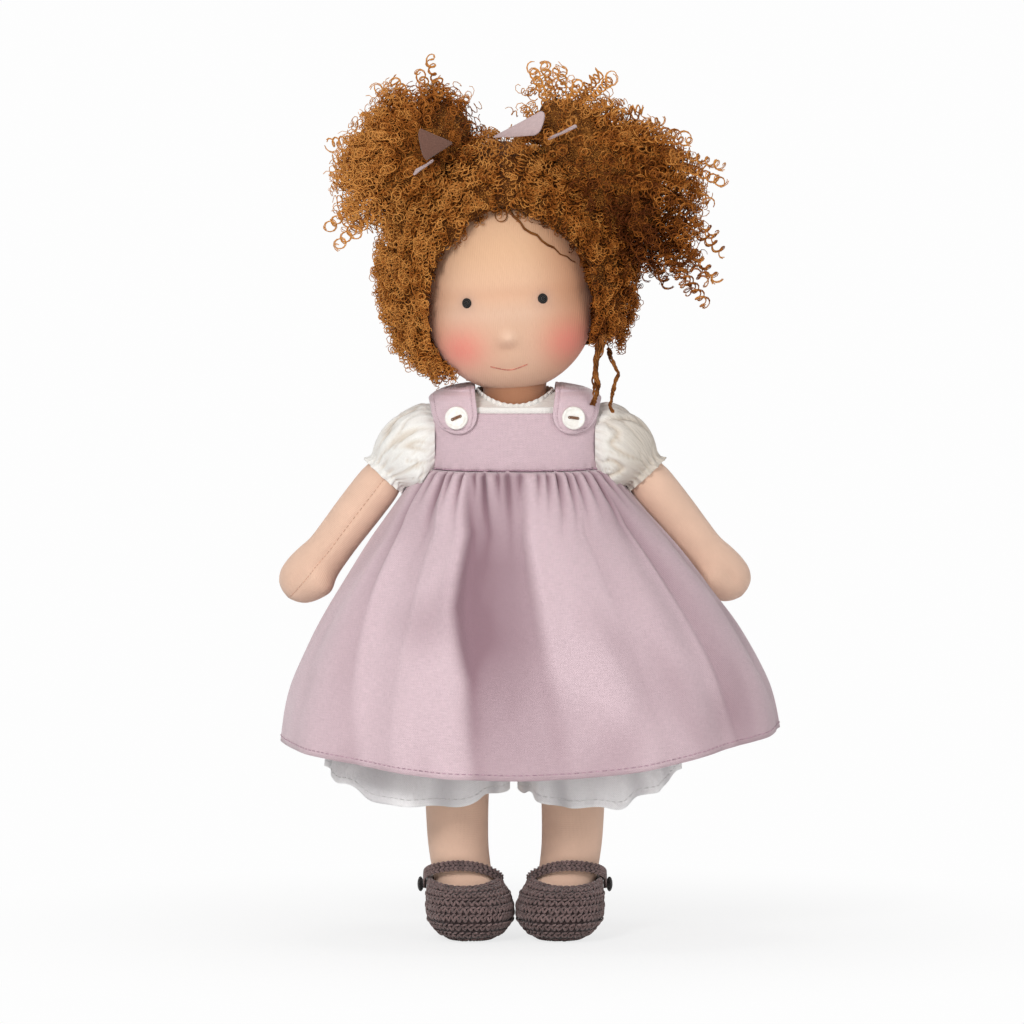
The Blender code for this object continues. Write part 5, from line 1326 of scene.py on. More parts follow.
def make_sole(side, sign, crochet):
    middle = Vector((sign * SOLE_REACH, SOLE_MIDDLE, 0))

    def place(across, along):
        width, height = SOLE_LINE(along)
        x, y = superellipse(across * math.tau, SHOE_HALF_WIDTH * width, SOLE_HALF_LENGTH * width, 2.3)
        return middle + Vector((x, y, height))

    mesh = formed(f"sole_{side}", 72, 24, (0.16, 0.05), place)
    add_piece(f"sole_{side}", mesh, crochet, f"leg_{side}", stands_for=(f"shoe_sole_{side}",))
    edge = []
    for index in range(SOLE_STITCHES):
        point, beside = [place(index / SOLE_STITCHES + shift, 0.56) for shift in (0, 0.004)]
        outward = (point - middle - Z_AXIS * point.z).normalized()
        ahead = (beside - point).normalized()
        for lean in (-1, 1):
            seat = point + ahead * 0.0007 * lean - outward * 0.0003
            edge.append(lie_on(seat, Z_AXIS + ahead * 0.5 * lean, outward))
    crochet_work(f"sole_edge_{side}", edge, SOLE_GRAIN, crochet, f"leg_{side}")


def make_ankle_strap(side, sign, crochet, dark):
    ankle = Vector((sign * ANKLE_REACH, 0.001, 0))

    def line(share, rise, lift):
        turn, height, radius = SHOE_STRAP(share)
        spoke = Vector((sign * math.cos(turn * math.pi), -math.sin(turn * math.pi), 0))
        level = STRAP_HEIGHTS[0] + (STRAP_HEIGHTS[1] - STRAP_HEIGHTS[0]) * height + rise
        return ankle + spoke * (STRAP_RADIUS * radius + lift) + Z_AXIS * level

    def place(across, along):
        x, y = superellipse(across * math.tau, 0.0006, 0.0022, 3)
        return line(0.005 + 0.99 * along, y, x)

    mesh = formed(f"ankle_strap_{side}", 20, 80, (0.012, 0.06), place)
    strap = add_piece(f"ankle_strap_{side}", mesh, dark, f"leg_{side}", stands_for=(f"shoe_strap_{side}",))
    braid = []
    for rise in BRAID_RISES:
        for index in range(BRAID_STITCHES):
            share = (index + 0.5) / BRAID_STITCHES
            point = line(share, rise, 0.0006)
            ahead = (line(share + 0.01, rise, 0.0006) - point).normalized()
            outward = point - ankle
            outward.z = 0
            outward.normalize()
            for lean in (-1, 1):
                braid.append(lie_on(point + Z_AXIS * (0.00055 * lean), ahead * 0.9 + Z_AXIS * (0.4 * lean), outward))
    crochet_work(f"strap_braid_{side}", braid, BRAID_GRAIN, crochet, f"leg_{side}")


def make_bead(side, sign, black):
    seat = Vector((sign * (ANKLE_REACH + STRAP_RADIUS * 1.13 + 0.001), 0.001, STRAP_HEIGHTS[0]))
    facing = Matrix.Translation(seat) @ (X_AXIS * sign).to_track_quat("Z", "Y").to_matrix().to_4x4()

    def place(across, along):
        turn, rise = across * math.tau, (along - 0.5) * math.pi
        ridge = 1 + 0.05 * math.sin(turn * 9 + along * 9)
        reach = BEAD_RADIUS * math.cos(rise) * ridge
        return facing @ Vector((reach * math.cos(turn), reach * math.sin(turn),
                                0.0013 + 0.0014 * math.sin(rise) * ridge))

    mesh = formed(f"bead_{side}", 54, 24, (0.02, 0.006), place)
    add_piece(f"bead_{side}", mesh, black, f"leg_{side}", stands_for=(f"shoe_button_{side}",))


def make_shoe(side, sign, crochet, dark, black):
    make_upper(side, sign, crochet, dark)
    make_sole(side, sign, crochet)
    make_ankle_strap(side, sign, crochet, dark)
    make_bead(side, sign, black)


SOLE_LINE = Profile(((0.0, 0.0001), (0.3, 0.0001), (0.44, 0.0002), (0.50, 0.0006), (0.54, 0.0012), (0.55, 0.0018),
                     (0.50, 0.0022), (0.3, 0.0022), (0.0, 0.0022)))

# Bloomers
SEAT_TOP = HIP_HEIGHT + 0.0595
SEAT_LOW = HIP_HEIGHT - 0.0225
BLOOMERS_TOP_DROP = 0.0240
BLOOMERS_DROP = 0.0585
BLOOMERS_INNER_RISES = {"right": 0.008, "left": 0.0060}
BLOOMERS_HEM_REACHES = {"right": 0.090, "left": 0.079}


SEAT_WIDTHS = ((0, 0.3, 0.56, 0.8), (0.0405, 0.0416, 0.042, 0.0405))
SEAT_DEPTHS = (0.0221, 0.0265, 0.027, 0.0261)
LEG_MIDDLE = 0.0226
BLOOMERS_HALF_TOP = 0.0174
BLOOMERS_HALF_DEPTH = 0.039
BLOOMERS_OUTER_RISE = 0.0155
BLOOMERS_SHIFTS = {"right": 0.4, "left": 1.9}


def make_seat(cotton):
    half_width, half_depth = torso_half_sizes(SEAT_TOP, 0.0028)
    shares, widths = SEAT_WIDTHS

    def place(across, along):
        turn = across * math.tau
        width = np.interp(along, (*shares, 1.0), (*widths, half_width))
        depth = np.interp(along, (*shares, 1.0), (*SEAT_DEPTHS, half_depth))
        gather = 0.0005 * wave(turn, 34, 0.3, 1.0) * (0.3 + 0.7 * along)
        x, y = superellipse(turn, width + gather, depth + gather, TORSO_POWER)
        return Vector((x, y, SEAT_LOW + (SEAT_TOP - SEAT_LOW) * along))

    mesh = formed("bloomers_top", 110, 24, (0.24, 0.08), place)
    seat = add_piece("bloomers_top", mesh, cotton,
                     ("torso", "hips", body_point(0, 0, HIP_HEIGHT + 0.026), body_point(0, 0, HIP_HEIGHT - 0.018)),
                     stands_for=("bloomers_seat",))
    thicken(seat, 0.0007)


def make_waistband(elastic):
    def place(across, along):
        turn = across * math.tau
        return trunk_point(turn, SEAT_TOP - 0.008 + 0.005 * along, 0.0016 + 0.0001 * wave(turn, 60, 0, 0.5))

    mesh = formed("waistband", 160, 4, (0.2, 0.005), place)
    band = add_piece("waistband", mesh, elastic, "torso", stands_for=("bloomers_waist_elastic",))
    thicken(band, 0.001)


def make_bloomer_leg(side, sign, cotton):
    shift = BLOOMERS_SHIFTS[side]
    hem_reach = BLOOMERS_HEM_REACHES[side]

    def place(across, along):
        turn = across * math.tau
        flare = math.sin(min(along, 1) * math.pi / 2)
        middle_x = LEG_MIDDLE + ((hem_reach + 0.0008) / 2 - LEG_MIDDLE) * flare
        half_width = BLOOMERS_HALF_TOP + ((hem_reach - 0.0008) / 2 - BLOOMERS_HALF_TOP) * flare
        half_depth = BLOOMERS_HALF_TOP + (BLOOMERS_HALF_DEPTH - BLOOMERS_HALF_TOP) * flare
        ruffle = wave(turn, 8, shift, 0.9) * along**1.5
        flute = wave(turn, 17, shift * 2, 0.7) * max(along - 0.45, 0) / 0.55
        fold = -0.0014 * along + (0.0021 * ruffle + 0.0008 * flute) * (1 - 0.6 * math.cos(turn) ** 4)
        across_share, back_share = math.cos(turn), math.sin(turn)
        rise = (BLOOMERS_OUTER_RISE if across_share > 0 else BLOOMERS_INNER_RISES[side]) * across_share**2
        scallop = 0.0013 * wave(turn, 8, shift + 1.2, 0.9) * max(along - 0.6, 0) / 0.4
        return Vector((sign * (middle_x + across_share * (half_width + fold)), back_share * (half_depth + fold),
                       HIP_HEIGHT - BLOOMERS_TOP_DROP - along * (BLOOMERS_DROP - rise) + scallop))

    # Painted shade in the troughs of the ruffles, growing towards the hem
    def painted_shade(across, along):
        return 0.9 * max(-wave(across * math.tau, 8, shift, 0.9), 0) * along

    mesh = formed(f"bloomers_{side}", 150, 46, (0.26, 0.065), place, None, painted_shade)
    reach = sign * LEG_MIDDLE
    leg = add_piece(f"bloomers_{side}", mesh, cotton,
                    ("hips", f"leg_{side}", body_point(reach, 0, 0.1235), body_point(reach, 0, 0.104)),
                    stands_for=(f"bloomers_leg_{side}",))
    thicken(leg, 0.0007)
    hem = dashes(lambda share: place(share, 0.94), 84, 0.6)
    add_threads(f"bloomers_hem_{side}", hem, 0.00022, cotton, f"leg_{side}")


def make_bloomers(cotton, elastic):
    make_seat(cotton)
    make_waistband(elastic)
    for side, sign in SIDES.items():
        make_bloomer_leg(side, sign, cotton)


# Blouse
def make_blouse(cotton):
    offset = LAYER_GAP + BLOUSE_WALL

    def place(across, along):
        turn = across * math.tau
        low, high = WAIST_HEIGHT - 0.0135, torso_height(TORSO_SHARES[-1][0]) + offset
        if along > 0.92:
            share = (along - 0.92) / 0.08
            half_width, half_depth = torso_half_sizes(high, offset)
            x, y = superellipse(turn, half_width, half_depth, TORSO_POWER)
            neck_x, neck_y = NECK_HOLE_RADIUS * math.cos(turn), NECK_HOLE_RADIUS * math.sin(turn)
            return Vector((x + (neck_x - x) * share, y + (neck_y - y) * share,
                           high + 0.0016 * share - neckline_dip(turn, 0.85 + 0.15 * share)))
        height = low + (high - low) * along / 0.92
        point = trunk_point(turn, height, offset)
        point.z -= neckline_dip(turn, np.interp(along, (0.84, 0.92), (0, 0.85)))
        return point

    mesh = formed("blouse", 90, 40, (0.21, 0.06), place)
    blouse = add_piece("blouse", mesh, cotton, "torso", stands_for=("blouse_body",))
    thicken(blouse, 0.0007)

    def trim_place(across, along):
        turn = across * math.tau
        x, y = superellipse(along * math.tau, 0.0007, 0.0021, 2.6)
        ruffle = wave(turn, 37, 0.4, 1.6)
        radius = NECK_HOLE_RADIUS + 0.0008 + x + 0.00030 * ruffle * (0.5 + y / 0.0042)
        return Vector((radius * math.cos(turn), radius * math.sin(turn),
                       NECK_HEIGHT + 0.0004 + y * (1 + 0.12 * ruffle) - neckline_dip(turn, 1.0)))

    trim_mesh = formed("neck_trim", 264, 12, (0.11, 0.01), trim_place)
    trim = add_piece("neck_trim", trim_mesh, cotton, "torso", stands_for=("blouse_neckband",))


# Dress
BODICE_RISE = 0.027
ARM_OPENING_RISE = 0.0065
SKIRT_WAIST_HALF_WIDTH = 0.0405
SKIRT_WAIST_HALF_DEPTH = 0.027
SKIRT_FLARES = {"right": 0.0695, "left": 0.0836}
SKIRT_DEPTH_FLARE = 0.053
SKIRT_FRONT_DROP = 0.1405
SKIRT_SIDE_DROPS = {"right": 0.1285, "left": 0.1225}
SKIRT_FLANK_FORWARD = 0.005
SKIRT_FOLD_GROWTH = 0.4
SKIRT_FOLDS = (
    (206, 206, 0.0018, 9, 0.3), (218, 229, -0.0030, 7, 0.15), (238, 247, 0.0026, 8, 0.05),
    (244, 245, -0.0026, 7, 0.6), (246, 259, -0.00155, 4.5, 0.02), (260, 268, -0.0016, 9, 0.05),
    (273, 279, -0.00155, 4.5, 0.02), (284, 287, -0.0024, 6, 0.45), (288, 296, 0.0028, 11, 0.05),
    (305, 309, -0.0016, 9, 0.3), (324, 325, -0.0028, 6, 0.12), (340, 341, 0.0016, 9, 0.2),
    (0, 0, 0.00098, 9, 0.2), (22, 20, -0.0028, 8, 0.1), (44, 42, 0.0028, 10, 0.1),
    (66, 66, -0.0036, 8, 0.1), (90, 90, -0.00164, 11, 0.1), (112, 114, -0.0038, 8, 0.1),
    (134, 137, 0.0028, 10, 0.1), (158, 160, -0.0028, 8, 0.1), (180, 180, 0.0010, 9, 0.2),
)
STRAP_WIDTH = 0.0215
STRAP_THICKNESS = 0.0016
STRAP_MIDDLE = 0.0270
STRAP_SHOULDER_MIDDLE = 0.0298
STRAP_LOW_RISE = 0.0173
STRAP_BACK_RISE = 0.0210
STRAP_BUTTON_RADIUS = 0.0055
BUTTON_SLANTS = {"right": math.radians(24.0), "left": math.radians(-8.0)}


PANEL_LEFT_EDGE = ((0, 0.19, 0.44, 0.68, 1.0), (245.0, 245.5, 248.0, 255.5, 259.5))
PANEL_RIGHT_EDGE = ((0, 0.28, 0.44, 0.67, 1.0), (273.0, 276.0, 277.4, 279.0, 282.0))
PANEL_DEPTHS = ((0, 0.05, 0.22, 0.55, 0.85, 1.0), (0.0, 0.0030, 0.0052, 0.0050, 0.0030, 0.0018))
GATHERS = (
    (203, 0.0016, 3.4, 0.10), (213, 0.0012, 3.0, 0.07), (223.8, 0.0020, 3.2, 0.19), (231, 0.0016, 2.6, 0.07),
    (240, 0.0022, 2.2, 0.11), (249, 0.0012, 2.0, 0.05), (255, 0.0022, 2.2, 0.16), (263, 0.0016, 2.0, 0.06),
    (267.5, 0.0024, 2.0, 0.12), (271.5, 0.0014, 1.8, 0.06), (280, 0.0012, 2.0, 0.06), (285.5, 0.0016, 2.2, 0.08),
    (292.4, 0.0024, 2.4, 0.12), (299.5, 0.0022, 2.2, 0.11), (305.7, 0.0018, 2.2, 0.10), (314, 0.0016, 2.6, 0.08),
    (324, 0.0022, 3.0, 0.16), (335, 0.0016, 3.4, 0.09), (347, 0.0018, 3.6, 0.12), (0, 0.0016, 3.6, 0.09),
)

# Turns at the waist and at the hem, spreads before and after, strength of the painted shade and depth of each pressed
# crease
CREASES = (
    (201, 225, 9.0, 2.0, 0.50, 0.0020), (327, 330, 1.4, 9.0, 0.55, 0.0022), (226, 236, 6.0, 2.0, 0.16, 0.0010),
    (302, 306, 2.0, 7.0, 0.14, 0.0008), (350, 353, 2.5, 9.0, 0.30, 0.0014),
)


def step(value, width):
    """A soft step from 0 below zero to 1 above it."""
    return 1 / (1 + math.exp(-min(max(value / width, -30), 30)))


# Shares and strengths of the painted shade on the sunken panel from waist to hem; the turn of the doll's left flank,
# which gets painted shade
PANEL_SHADES = ((0, 0.10, 0.30, 0.55, 0.78, 1.0), (0.25, 0.6, 1.12, 1.15, 0.72, 0.50))
LEFT_FLANK = 338


def turned(degrees, middle):
    """The angle from a middle to a place round the skirt, from -180 to 180 degrees."""
    return (degrees - middle + 180) % 360 - 180


def broad_folds(degrees, share):
    """The soft folds that fan out below the gathers."""
    push = 0.0
    for waist_turn, hem_turn, depth, spread, start in SKIRT_FOLDS:
        away = turned(degrees, waist_turn + (hem_turn - waist_turn) * share)
        growth = min(max((share - start) / SKIRT_FOLD_GROWTH, 0), 1)
        push += depth * math.sin(growth * math.pi / 2) * math.exp(-(away / spread) ** 2)
    return push


def sunken_panel(degrees, share):
    """The panel in the middle of the front, which lies deep between two crisp edges, with painted shade on it, deepest
    by its left edge.
    """
    left, right = np.interp(share, *PANEL_LEFT_EDGE), np.interp(share, *PANEL_RIGHT_EDGE)
    depth = np.interp(share, *PANEL_DEPTHS)
    crisp = 0.42 + 0.5 * share
    panel = step(degrees - left, crisp) * step(right - degrees, crisp * 2)
    across = min(max((degrees - left) / max(right - left, 1), 0), 1)
    push = -depth * panel * (1 - 0.30 * math.sin(across * math.pi))
    push += depth * 0.30 * (math.exp(-((degrees - left + 3.2) / 3.0) ** 2)
                            + math.exp(-((degrees - right - 3.2) / 3.0) ** 2))
    dark = (0.92 - 0.32 * across + 0.45 * math.exp(-((degrees - left) / 2.4) ** 2)
            + 0.25 * math.exp(-((degrees - right) / 2.0) ** 2))
    return push, panel * np.interp(share, *PANEL_SHADES) * dark


def sharp_creases(degrees, share):
    """Pressed creases, crisp on one side and soft on the other, with painted shade along them."""
    push = painted_shade = 0.0
    for waist_turn, hem_turn, before, after, dark, fall in CREASES:
        away = degrees - waist_turn - (hem_turn - waist_turn) * share
        wide = (before if away < 0 else after) * (0.4 + 0.8 * share)
        notch = math.exp(-(away / wide) ** 2) * min(share * 5, 1) * (1.1 - 0.6 * share)
        notch *= 0.8 + 0.6 * noise.noise(Vector((waist_turn, share * 3.1, 0)))
        push -= fall * notch
        painted_shade += dark * notch
    return push, painted_shade


def waist_gathers(turn, degrees, share):
    """Gathers below the waist seam: placed one by one at the front, even at the back, with painted shade in their
    valleys.
    """
    near = min(share / 0.010, 1)
    push = painted_shade = 0.0
    for middle, fall, width, length in GATHERS:
        away = abs(turned(degrees, middle)) / (width * (0.62 + 2.4 * share))
        notch = math.exp(-away**1.3) * math.exp(-(share / length) ** 1.5) * near
        push -= 2.1 * fall * notch
        painted_shade += 1.25 * notch
    back = step(math.sin(turn), 0.08)
    folds = abs(wave(turn, 19, 0.5, 1.2)) ** 0.6
    push += 0.0022 * (folds - 0.55) * math.exp(-(share / 0.11) ** 1.5) * near * back
    push += 0.0030 * near * math.exp(-(share / 0.26) ** 1.5)
    painted_shade += 0.5 * (1 - folds) * math.exp(-(share / 0.10) ** 1.5) * back
    return push, painted_shade


def soft_rumples(turn, degrees, share):
    """Small uneven rumples with painted shade in their dips, and painted shade on the doll's left flank."""
    x, y = math.cos(turn), math.sin(turn)
    rumple = noise.noise(Vector((x * 2.6, y * 2.6, share * 3.2)))
    rumple += 0.5 * noise.noise(Vector((x * 7, y * 7, share * 5)))
    start = min(share * 4, 1)
    flank = math.exp(-(turned(degrees, LEFT_FLANK) / 34) ** 2)
    return 0.0016 * rumple * start, max(-rumple, 0) * 0.42 * start + 0.26 * flank


def skirt_folds(turn, share):
    """How far the skirt stands out of its plain flare, and how much painted shade it gets there."""
    degrees = math.degrees(turn) % 360
    parts = (sunken_panel(degrees, share), sharp_creases(degrees, share), waist_gathers(turn, degrees, share),
             soft_rumples(turn, degrees, share))
    push, painted_shade = [sum(values) for values in zip(*parts)]
    return broad_folds(degrees, share) + push, painted_shade


def skirt_place(across, along, lift=0.0):
    turn = across * math.tau
    share = along
    side = "left" if math.cos(turn) > 0 else "right"
    flank = math.cos(turn) ** 2
    drop = SKIRT_FRONT_DROP + (SKIRT_SIDE_DROPS[side] - SKIRT_FRONT_DROP) * flank
    flare = 0.75 * math.sin(share * math.pi / 2) + 0.25 * share
    push = lift + skirt_folds(turn, share)[0]
    power = np.interp(share, (0.0, 0.20, 1.0), (2.6, 1.75, 2.0))
    x, y = superellipse(turn, SKIRT_WAIST_HALF_WIDTH + SKIRT_FLARES[side] * flare + push,
                        SKIRT_WAIST_HALF_DEPTH + SKIRT_DEPTH_FLARE * flare + push, power)
    return Vector((x, y - SKIRT_FLANK_FORWARD * flare * flank, WAIST_HEIGHT - 0.0003 - share * drop))


def make_skirt(linen_finish, thread):
    def flat(across, along):
        reach = 0.034 + 0.071 * (0.75 * math.sin(along * math.pi / 2) + 0.25 * along)
        return (across - 0.75) * math.tau * reach, along * 0.150

    mesh = formed("skirt_cloth", 520, 60, (0.56, 0.15), lambda u, v: skirt_place(u, v ** 1.25), flat,
                  lambda u, v: skirt_folds(u * math.tau, v ** 1.25)[1])
    start, end = body_point(0, 0.03, 0.19), body_point(0, -0.19, 0.03)
    skirt = add_piece("skirt_cloth", mesh, linen_finish, ("torso", "hips", start, end), stands_for=("skirt",))
    thicken(skirt, 0.0011)
    hem = dashes(lambda share: skirt_place(share, 0.981, 0.0001), 230, 0.62)
    add_threads("hem_stitches", hem, 0.00024, thread, ("torso", "hips", start, end))


def bodice_rise(front):
    fullness = min(abs(front) * 2.2, 1) ** 2
    return ARM_OPENING_RISE + (BODICE_RISE - ARM_OPENING_RISE) * fullness


def make_bodice(linen_finish, thread):
    def place(across, along, lift=0.0):
        turn = across * math.tau
        height = WAIST_HEIGHT + along * bodice_rise(math.sin(turn))
        rumple = 0.0002 * noise.noise(Vector((math.cos(turn) * 6, math.sin(turn) * 6, along * 4)))
        pull = 0.0004 * wave(turn, 30, 0.8, 1.0) * math.exp(-(along / 0.10) ** 2)
        return trunk_point(turn, height, BODICE_OFFSET + rumple + pull + lift)

    # Painted shade: a little of the deeper tone over the whole bib
    mesh = formed("bib", 140, 24, (0.22, 0.027), place, None, lambda u, v: 0.16)
    bodice = add_piece("bib", mesh, linen_finish, "torso", stands_for=("dress_bodice",))
    thicken(bodice, 0.0011)
    seam = [[place(index / 240, 0.012, 0.0001) + Vector((0, 0, -0.0002)) for index in range(241)]]
    add_threads("waist_seam", seam, 0.00045, thread, "torso")


def strap_place(side, across, along, lift=0.0):
    """A point of a strap: along runs from the tab's round end at the front to the back."""
    sign = SIDES[side]
    lowest_front = WAIST_HEIGHT + STRAP_LOW_RISE
    near = BODICE_OFFSET + LAYER_GAP + STRAP_THICKNESS
    travel = 2 * along - 1
    lowest = lowest_front if travel < 0 else WAIST_HEIGHT + STRAP_BACK_RISE
    middle = STRAP_SHOULDER_MIDDLE + (STRAP_MIDDLE - STRAP_SHOULDER_MIDDLE) * travel**2
    climb = math.sin((1 - abs(travel)) * math.pi / 2)
    top = shoulder_top(middle, near)
    rise = climb * (top - lowest) if travel < 0 else 1
    radius = STRAP_WIDTH / 2
    half = radius * math.sqrt(max(1 - max(1 - rise / radius, 0) ** 2, 0)) if travel < 0 else radius
    x = middle + half * (2 * across - 1)
    offset = near + (BLOUSE_WALL - BODICE_OFFSET + LAYER_GAP * 2) * climb**4 + lift
    height = lowest + (shoulder_top(x, offset) - lowest) * climb
    half_width, half_depth = torso_half_sizes(min(height, shoulder_top(x, offset)), offset)
    depth = half_depth * max(1 - (x / half_width) ** TORSO_POWER, 0) ** (1 / TORSO_POWER)
    return Vector((sign * x, math.copysign(depth, travel), height))


def make_strap(side, linen_finish, thread):
    def even(share):
        return 0.5 - 0.5 * math.cos(share * math.pi) if share < 0.5 else share

    def place(across, along):
        point = strap_place(side, across, even(along))
        edge = abs(2 * across - 1)
        inner = min(1 - edge, max(even(along) - 0.012, 0) * 5.5)
        groove = math.exp(-((inner - 0.17) / 0.05) ** 2)
        puff = 0.0004 * (1 - edge**6) * math.sin(min(along * 30, 1) * math.pi / 2) - 0.0005 * groove
        return point + Vector((0, -puff if along < 0.5 else puff, puff * 0.5))

    mesh = formed(f"shoulder_strap_{side}", 26, 110, (STRAP_WIDTH, 0.075), place)
    strap = add_piece(f"shoulder_strap_{side}", mesh, linen_finish, "torso", stands_for=(f"strap_{side}",))
    thicken(strap, 0.0017)
    outline = []
    for index in range(33):
        share = index / 32
        outline.append(strap_place(side, 0.1, 0.46 - 0.435 * share, 0.0002))
    for index in range(1, 12):
        outline.append(strap_place(side, 0.1 + 0.8 * index / 12, 0.025, 0.0002))
    for index in range(33):
        share = index / 32
        outline.append(strap_place(side, 0.9, 0.025 + 0.435 * share, 0.0002))
    line = Profile(outline)
    add_threads(f"strap_stitches_{side}", dashes(lambda share: Vector(line(share)), 46, 0.6), 0.0002, thread, "torso")


def make_strap_button(side, sign, finish, thread):
    low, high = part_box(f"strap_button_{side}")
    middle = BODY.inverted() @ ((Vector(low) + Vector(high)) / 2)
    normal = Vector((sign * 0.14, -0.96, 0.20)).normalized()
    facing = (Matrix.Translation(middle - normal * 0.0011) @ normal.to_track_quat("Z", "Y").to_matrix().to_4x4()
              @ Matrix.Rotation(BUTTON_SLANTS[side], 4, "Z"))
    shape = bmesh.new()
    points = [shape.verts.new((radius * STRAP_BUTTON_RADIUS, 0, height)) for radius, height in BUTTON_LINE]
    edges = [shape.edges.new(pair) for pair in zip(points, points[1:])]
    bmesh.ops.spin(shape, geom=points + edges, axis=Z_AXIS, cent=Vector(), angle=math.tau, steps=48, use_merge=True)
    bmesh.ops.remove_doubles(shape, verts=shape.verts, dist=WELD)
    bmesh.ops.recalc_face_normals(shape, faces=shape.faces)
    bmesh.ops.transform(shape, matrix=facing, verts=shape.verts)
    add_piece(f"round_button_{side}", mesh_from(shape, f"round_button_{side}"), finish, "torso",
              stands_for=(f"strap_button_{side}",))
    bars = []
    for shift in (-0.00042, 0.0, 0.00042):
        bars.append([facing @ Vector((0.0019 * step, shift, 0.0017 + 0.0004 * (1 - step**4)))
                     for step in np.linspace(-1, 1, 9)])
    add_threads(f"button_bar_{side}", bars, 0.0003, thread, "torso", stands_for=(f"button_thread_{side}",), sides=1)
    holes = []
    for end in (-1, 1):
        holes.append([facing @ Vector((end * 0.0020 + 0.0005 * math.cos(turn), 0.0005 * math.sin(turn), 0.00152))
                      for turn in np.linspace(0, math.tau, 11)])
    add_threads(f"button_holes_{side}", holes, 0.0003, thread, "torso")


BUTTON_LINE = ((0.0, 0.0), (0.84, 0.0), (0.95, 0.0003), (1.0, 0.0010), (0.985, 0.0016), (0.93, 0.0020), (0.86, 0.00205),
               (0.79, 0.0019), (0.72, 0.0016), (0.64, 0.0015), (0.0, 0.0015))


# The doll
skin = knit_skin("knit_skin", SKIN_TONE)
face = face_skin()
mauve = linen("mauve_linen", LINEN_TONE)
# Painted shade: a dark copy of the ribbon linen for the point of the doll's right ribbon, which lies in shade
ribbon_shade_linen = linen("ribbon_shade_linen", (0.145, 0.070, 0.050))
ribbon_linen = linen("ribbon_linen", (0.50, 0.375, 0.37))
# Painted shadow: the neck is far darker than the rest of the skin, for the chin's shadow on it
neck_shade = knit_skin("neck_shadow_skin", (0.40, 0.185, 0.10))
mauve_thread = yarn("mauve_thread", "mauve_linen", (0.42, 0.26, 0.32), 2600)
strap_thread = yarn("strap_thread", "mauve_linen", (0.545, 0.395, 0.435), 2600)
# The last tone of each cotton is painted shade for its hollows, warm beige on the blouse and sleeves, grey on the
# frills
cotton = crinkled_cotton("white_cotton", COTTON_TONE, (0.62, 0.52, 0.42))
frill_cotton = crinkled_cotton("frill_cotton", (0.95, 0.935, 0.935), (0.66, 0.64, 0.65))
elastic = yarn("elastic", "elastic", (0.85, 0.84, 0.80), 2000)
seam_thread = yarn("skin_thread", "skin", (0.62, 0.36, 0.25), 2600)
eye_thread = yarn("eye_thread", "eye_thread", (0.012, 0.010, 0.009), 2600)
mouth_thread = yarn("mouth_thread", "mouth_thread", (0.50, 0.17, 0.12), 2600)
brown_thread = yarn("brown_thread", "brown_thread", (0.20, 0.10, 0.06), 2600)
crochet = yarn("crochet_yarn", "crochet", (0.170, 0.112, 0.106), 1800)
crochet_dark = yarn("crochet_shadow", "crochet", (0.055, 0.035, 0.034), 1800)
black_bead = yarn("black_bead", "black_button", (0.014, 0.011, 0.011), 1500)
button = pressed_button()
DARK_HAIR, WARM_HAIR, GOLD_HAIR = (0.088, 0.019, 0.0020), (0.350, 0.107, 0.0138), (0.630, 0.278, 0.067)
wig_hair = mohair("wig_mohair", DARK_HAIR, WARM_HAIR, GOLD_HAIR, HEAD @ Vector((0.012, 0.01, 0.01)), 0.078, 0.30)
brow_hair = mohair("brow_mohair", (0.06, 0.016, 0.004), (0.14, 0.045, 0.010), (0.22, 0.08, 0.02),
                   HEAD @ Vector((0, 0, 0)), 0.06, 0.2)
lock_hair = mohair("lock_mohair", (0.05, 0.014, 0.003), (0.16, 0.052, 0.010), (0.34, 0.13, 0.03),
                   HEAD @ Vector((0, 0, 0)), 0.075, 0.3)
# Painted shade: the mass under the curls is darker than the curls, for the shade between them
shadow_hair = mohair("under_mohair", (0.070, 0.018, 0.002), (0.17, 0.050, 0.007), (0.42, 0.160, 0.030),
                     HEAD @ Vector((0, 0, 0.02)), 0.085, 0.2, 0.42)

make_trunk(skin, neck_shade)
make_head(face, eye_thread, mouth_thread)
make_wig(wig_hair, shadow_hair)
for side, sign in SIDES.items():
    # Painted shade and light: each bunch darkens round a centre, low by the cap for the doll's left bunch, which lies
    # in shade, and at the tie for the right one, which turns golden sooner in the light
    shade_centre = HEAD @ Vector((0.040, -0.008, 0.025) if side == "left" else (-0.026, -0.008, 0.074))
    bunch_hair = mohair(f"bunch_mohair_{side}", DARK_HAIR, WARM_HAIR, GOLD_HAIR, shade_centre,
                        *((0.072, 0.30) if side == "left" else (0.043, 0.08)))
    make_bunch(side, sign, bunch_hair, shadow_hair)
make_loose_locks(lock_hair, brow_hair)
make_ribbons(ribbon_linen, ribbon_shade_linen)
make_bloomers(frill_cotton, elastic)
make_blouse(cotton)
make_bodice(mauve, mauve_thread)
make_skirt(mauve, mauve_thread)
for side, sign in SIDES.items():
    make_arm(side, sign, skin, seam_thread)
    make_sleeve(side, sign, cotton, elastic)
    make_leg(side, sign, skin)
    make_shoe(side, sign, crochet, crochet_dark, black_bead)
    make_strap(side, mauve, strap_thread)
    make_strap_button(side, sign, button, brown_thread)


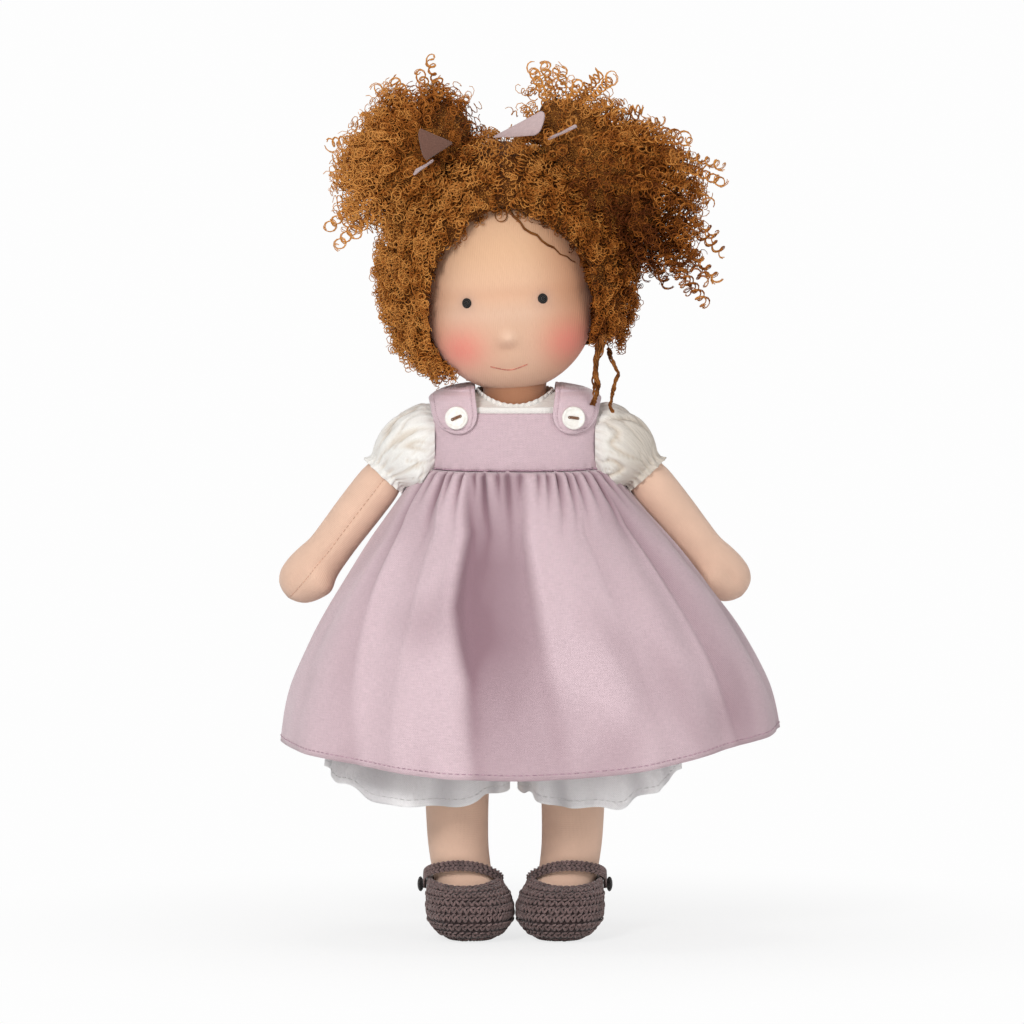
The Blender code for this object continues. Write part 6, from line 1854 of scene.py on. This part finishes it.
# Stage, light and camera
def make_floor():
    floor = Finish("floor", "skin", Roughness=0.9)
    x, y, _ = floor.parts(floor.place())
    away = (x * x + y * y) ** 0.5
    ray = floor.node("ShaderNodeLightPath", {}, {}, "Is Camera Ray")
    bright = floor.nodes.new("ShaderNodeEmission")
    bright.inputs["Strength"].default_value = 0.985
    blend = floor.nodes.new("ShaderNodeMixShader")
    share = ray * (away.between(0.10, 0.32) * 0.22 + 0.78)
    floor.shader.inputs["Base Color"].default_value = (0.93, 0.93, 0.925, 1)
    floor.links.new(share.socket, blend.inputs[0])
    floor.links.new(floor.shader.outputs[0], blend.inputs[1])
    floor.links.new(bright.outputs[0], blend.inputs[2])
    floor.links.new(blend.outputs[0], floor.nodes["Material Output"].inputs["Surface"])
    shape = bmesh.new()
    bmesh.ops.create_grid(shape, x_segments=1, y_segments=1, size=4)
    mesh = mesh_from(shape, "floor")
    mesh.materials.append(floor.material)
    piece = bpy.data.objects.new("floor", mesh)
    bpy.context.scene.collection.objects.link(piece)


def make_world():
    world = bpy.data.worlds.new("studio")
    bpy.context.scene.world = world
    world.use_nodes = True
    nodes, links = world.node_tree.nodes, world.node_tree.links
    background = nodes["Background"]
    background.inputs["Color"].default_value = (1, 1, 1, 1)
    ray = nodes.new("ShaderNodeLightPath")
    shown = nodes.new("ShaderNodeMath")
    shown.operation = "MAXIMUM"
    links.new(ray.outputs["Is Camera Ray"], shown.inputs[0])
    links.new(ray.outputs["Is Glossy Ray"], shown.inputs[1])
    through = nodes.new("ShaderNodeMath")
    through.operation = "MAXIMUM"
    links.new(shown.outputs[0], through.inputs[0])
    links.new(ray.outputs["Is Transmission Ray"], through.inputs[1])
    strength = nodes.new("ShaderNodeMapRange")
    strength.inputs["To Min"].default_value = AMBIENT
    strength.inputs["To Max"].default_value = 0.985
    links.new(through.outputs[0], strength.inputs["Value"])
    links.new(strength.outputs[0], background.inputs["Strength"])


def add_lamp(name, place, aim, size, power):
    light = bpy.data.lights.new(name, "AREA")
    light.shape = "DISK"
    light.size = size
    light.energy = power
    lamp = bpy.data.objects.new(name, light)
    lamp.location = place
    lamp.rotation_euler = (Vector(aim) - Vector(place)).to_track_quat("-Z", "Y").to_euler()
    bpy.context.scene.collection.objects.link(lamp)


AMBIENT = 0.47
AIM = Vector((-0.00846, 0, 0.2004))
ELEVATION = math.radians(5.5)
LENS = 1000
SENSOR = 36
FIELD = 0.48128
DISTANCE = FIELD * LENS / SENSOR

make_floor()
make_world()
add_lamp("key", (-0.5, -1.3, 0.82), (0, 0, 0.2), 0.40, 11)
add_lamp("fill", (1.1, -1.2, 0.5), (0, 0, 0.18), 1.0, 4.5)
add_lamp("top", (-0.1, 0.1, 1.5), (0, 0, 0.25), 0.8, 3.5)
camera_data = bpy.data.cameras.new("camera")
camera_data.lens = LENS
camera_data.sensor_width = SENSOR
camera_data.clip_end = 100
camera = bpy.data.objects.new("camera", camera_data)
camera.location = AIM + Vector((0, -math.cos(ELEVATION), math.sin(ELEVATION))) * DISTANCE
camera.rotation_euler = (math.pi / 2 - ELEVATION, 0, 0)
bpy.context.scene.collection.objects.link(camera)
bpy.context.scene.camera = camera
bpy.context.scene.view_settings.view_transform = "Standard"
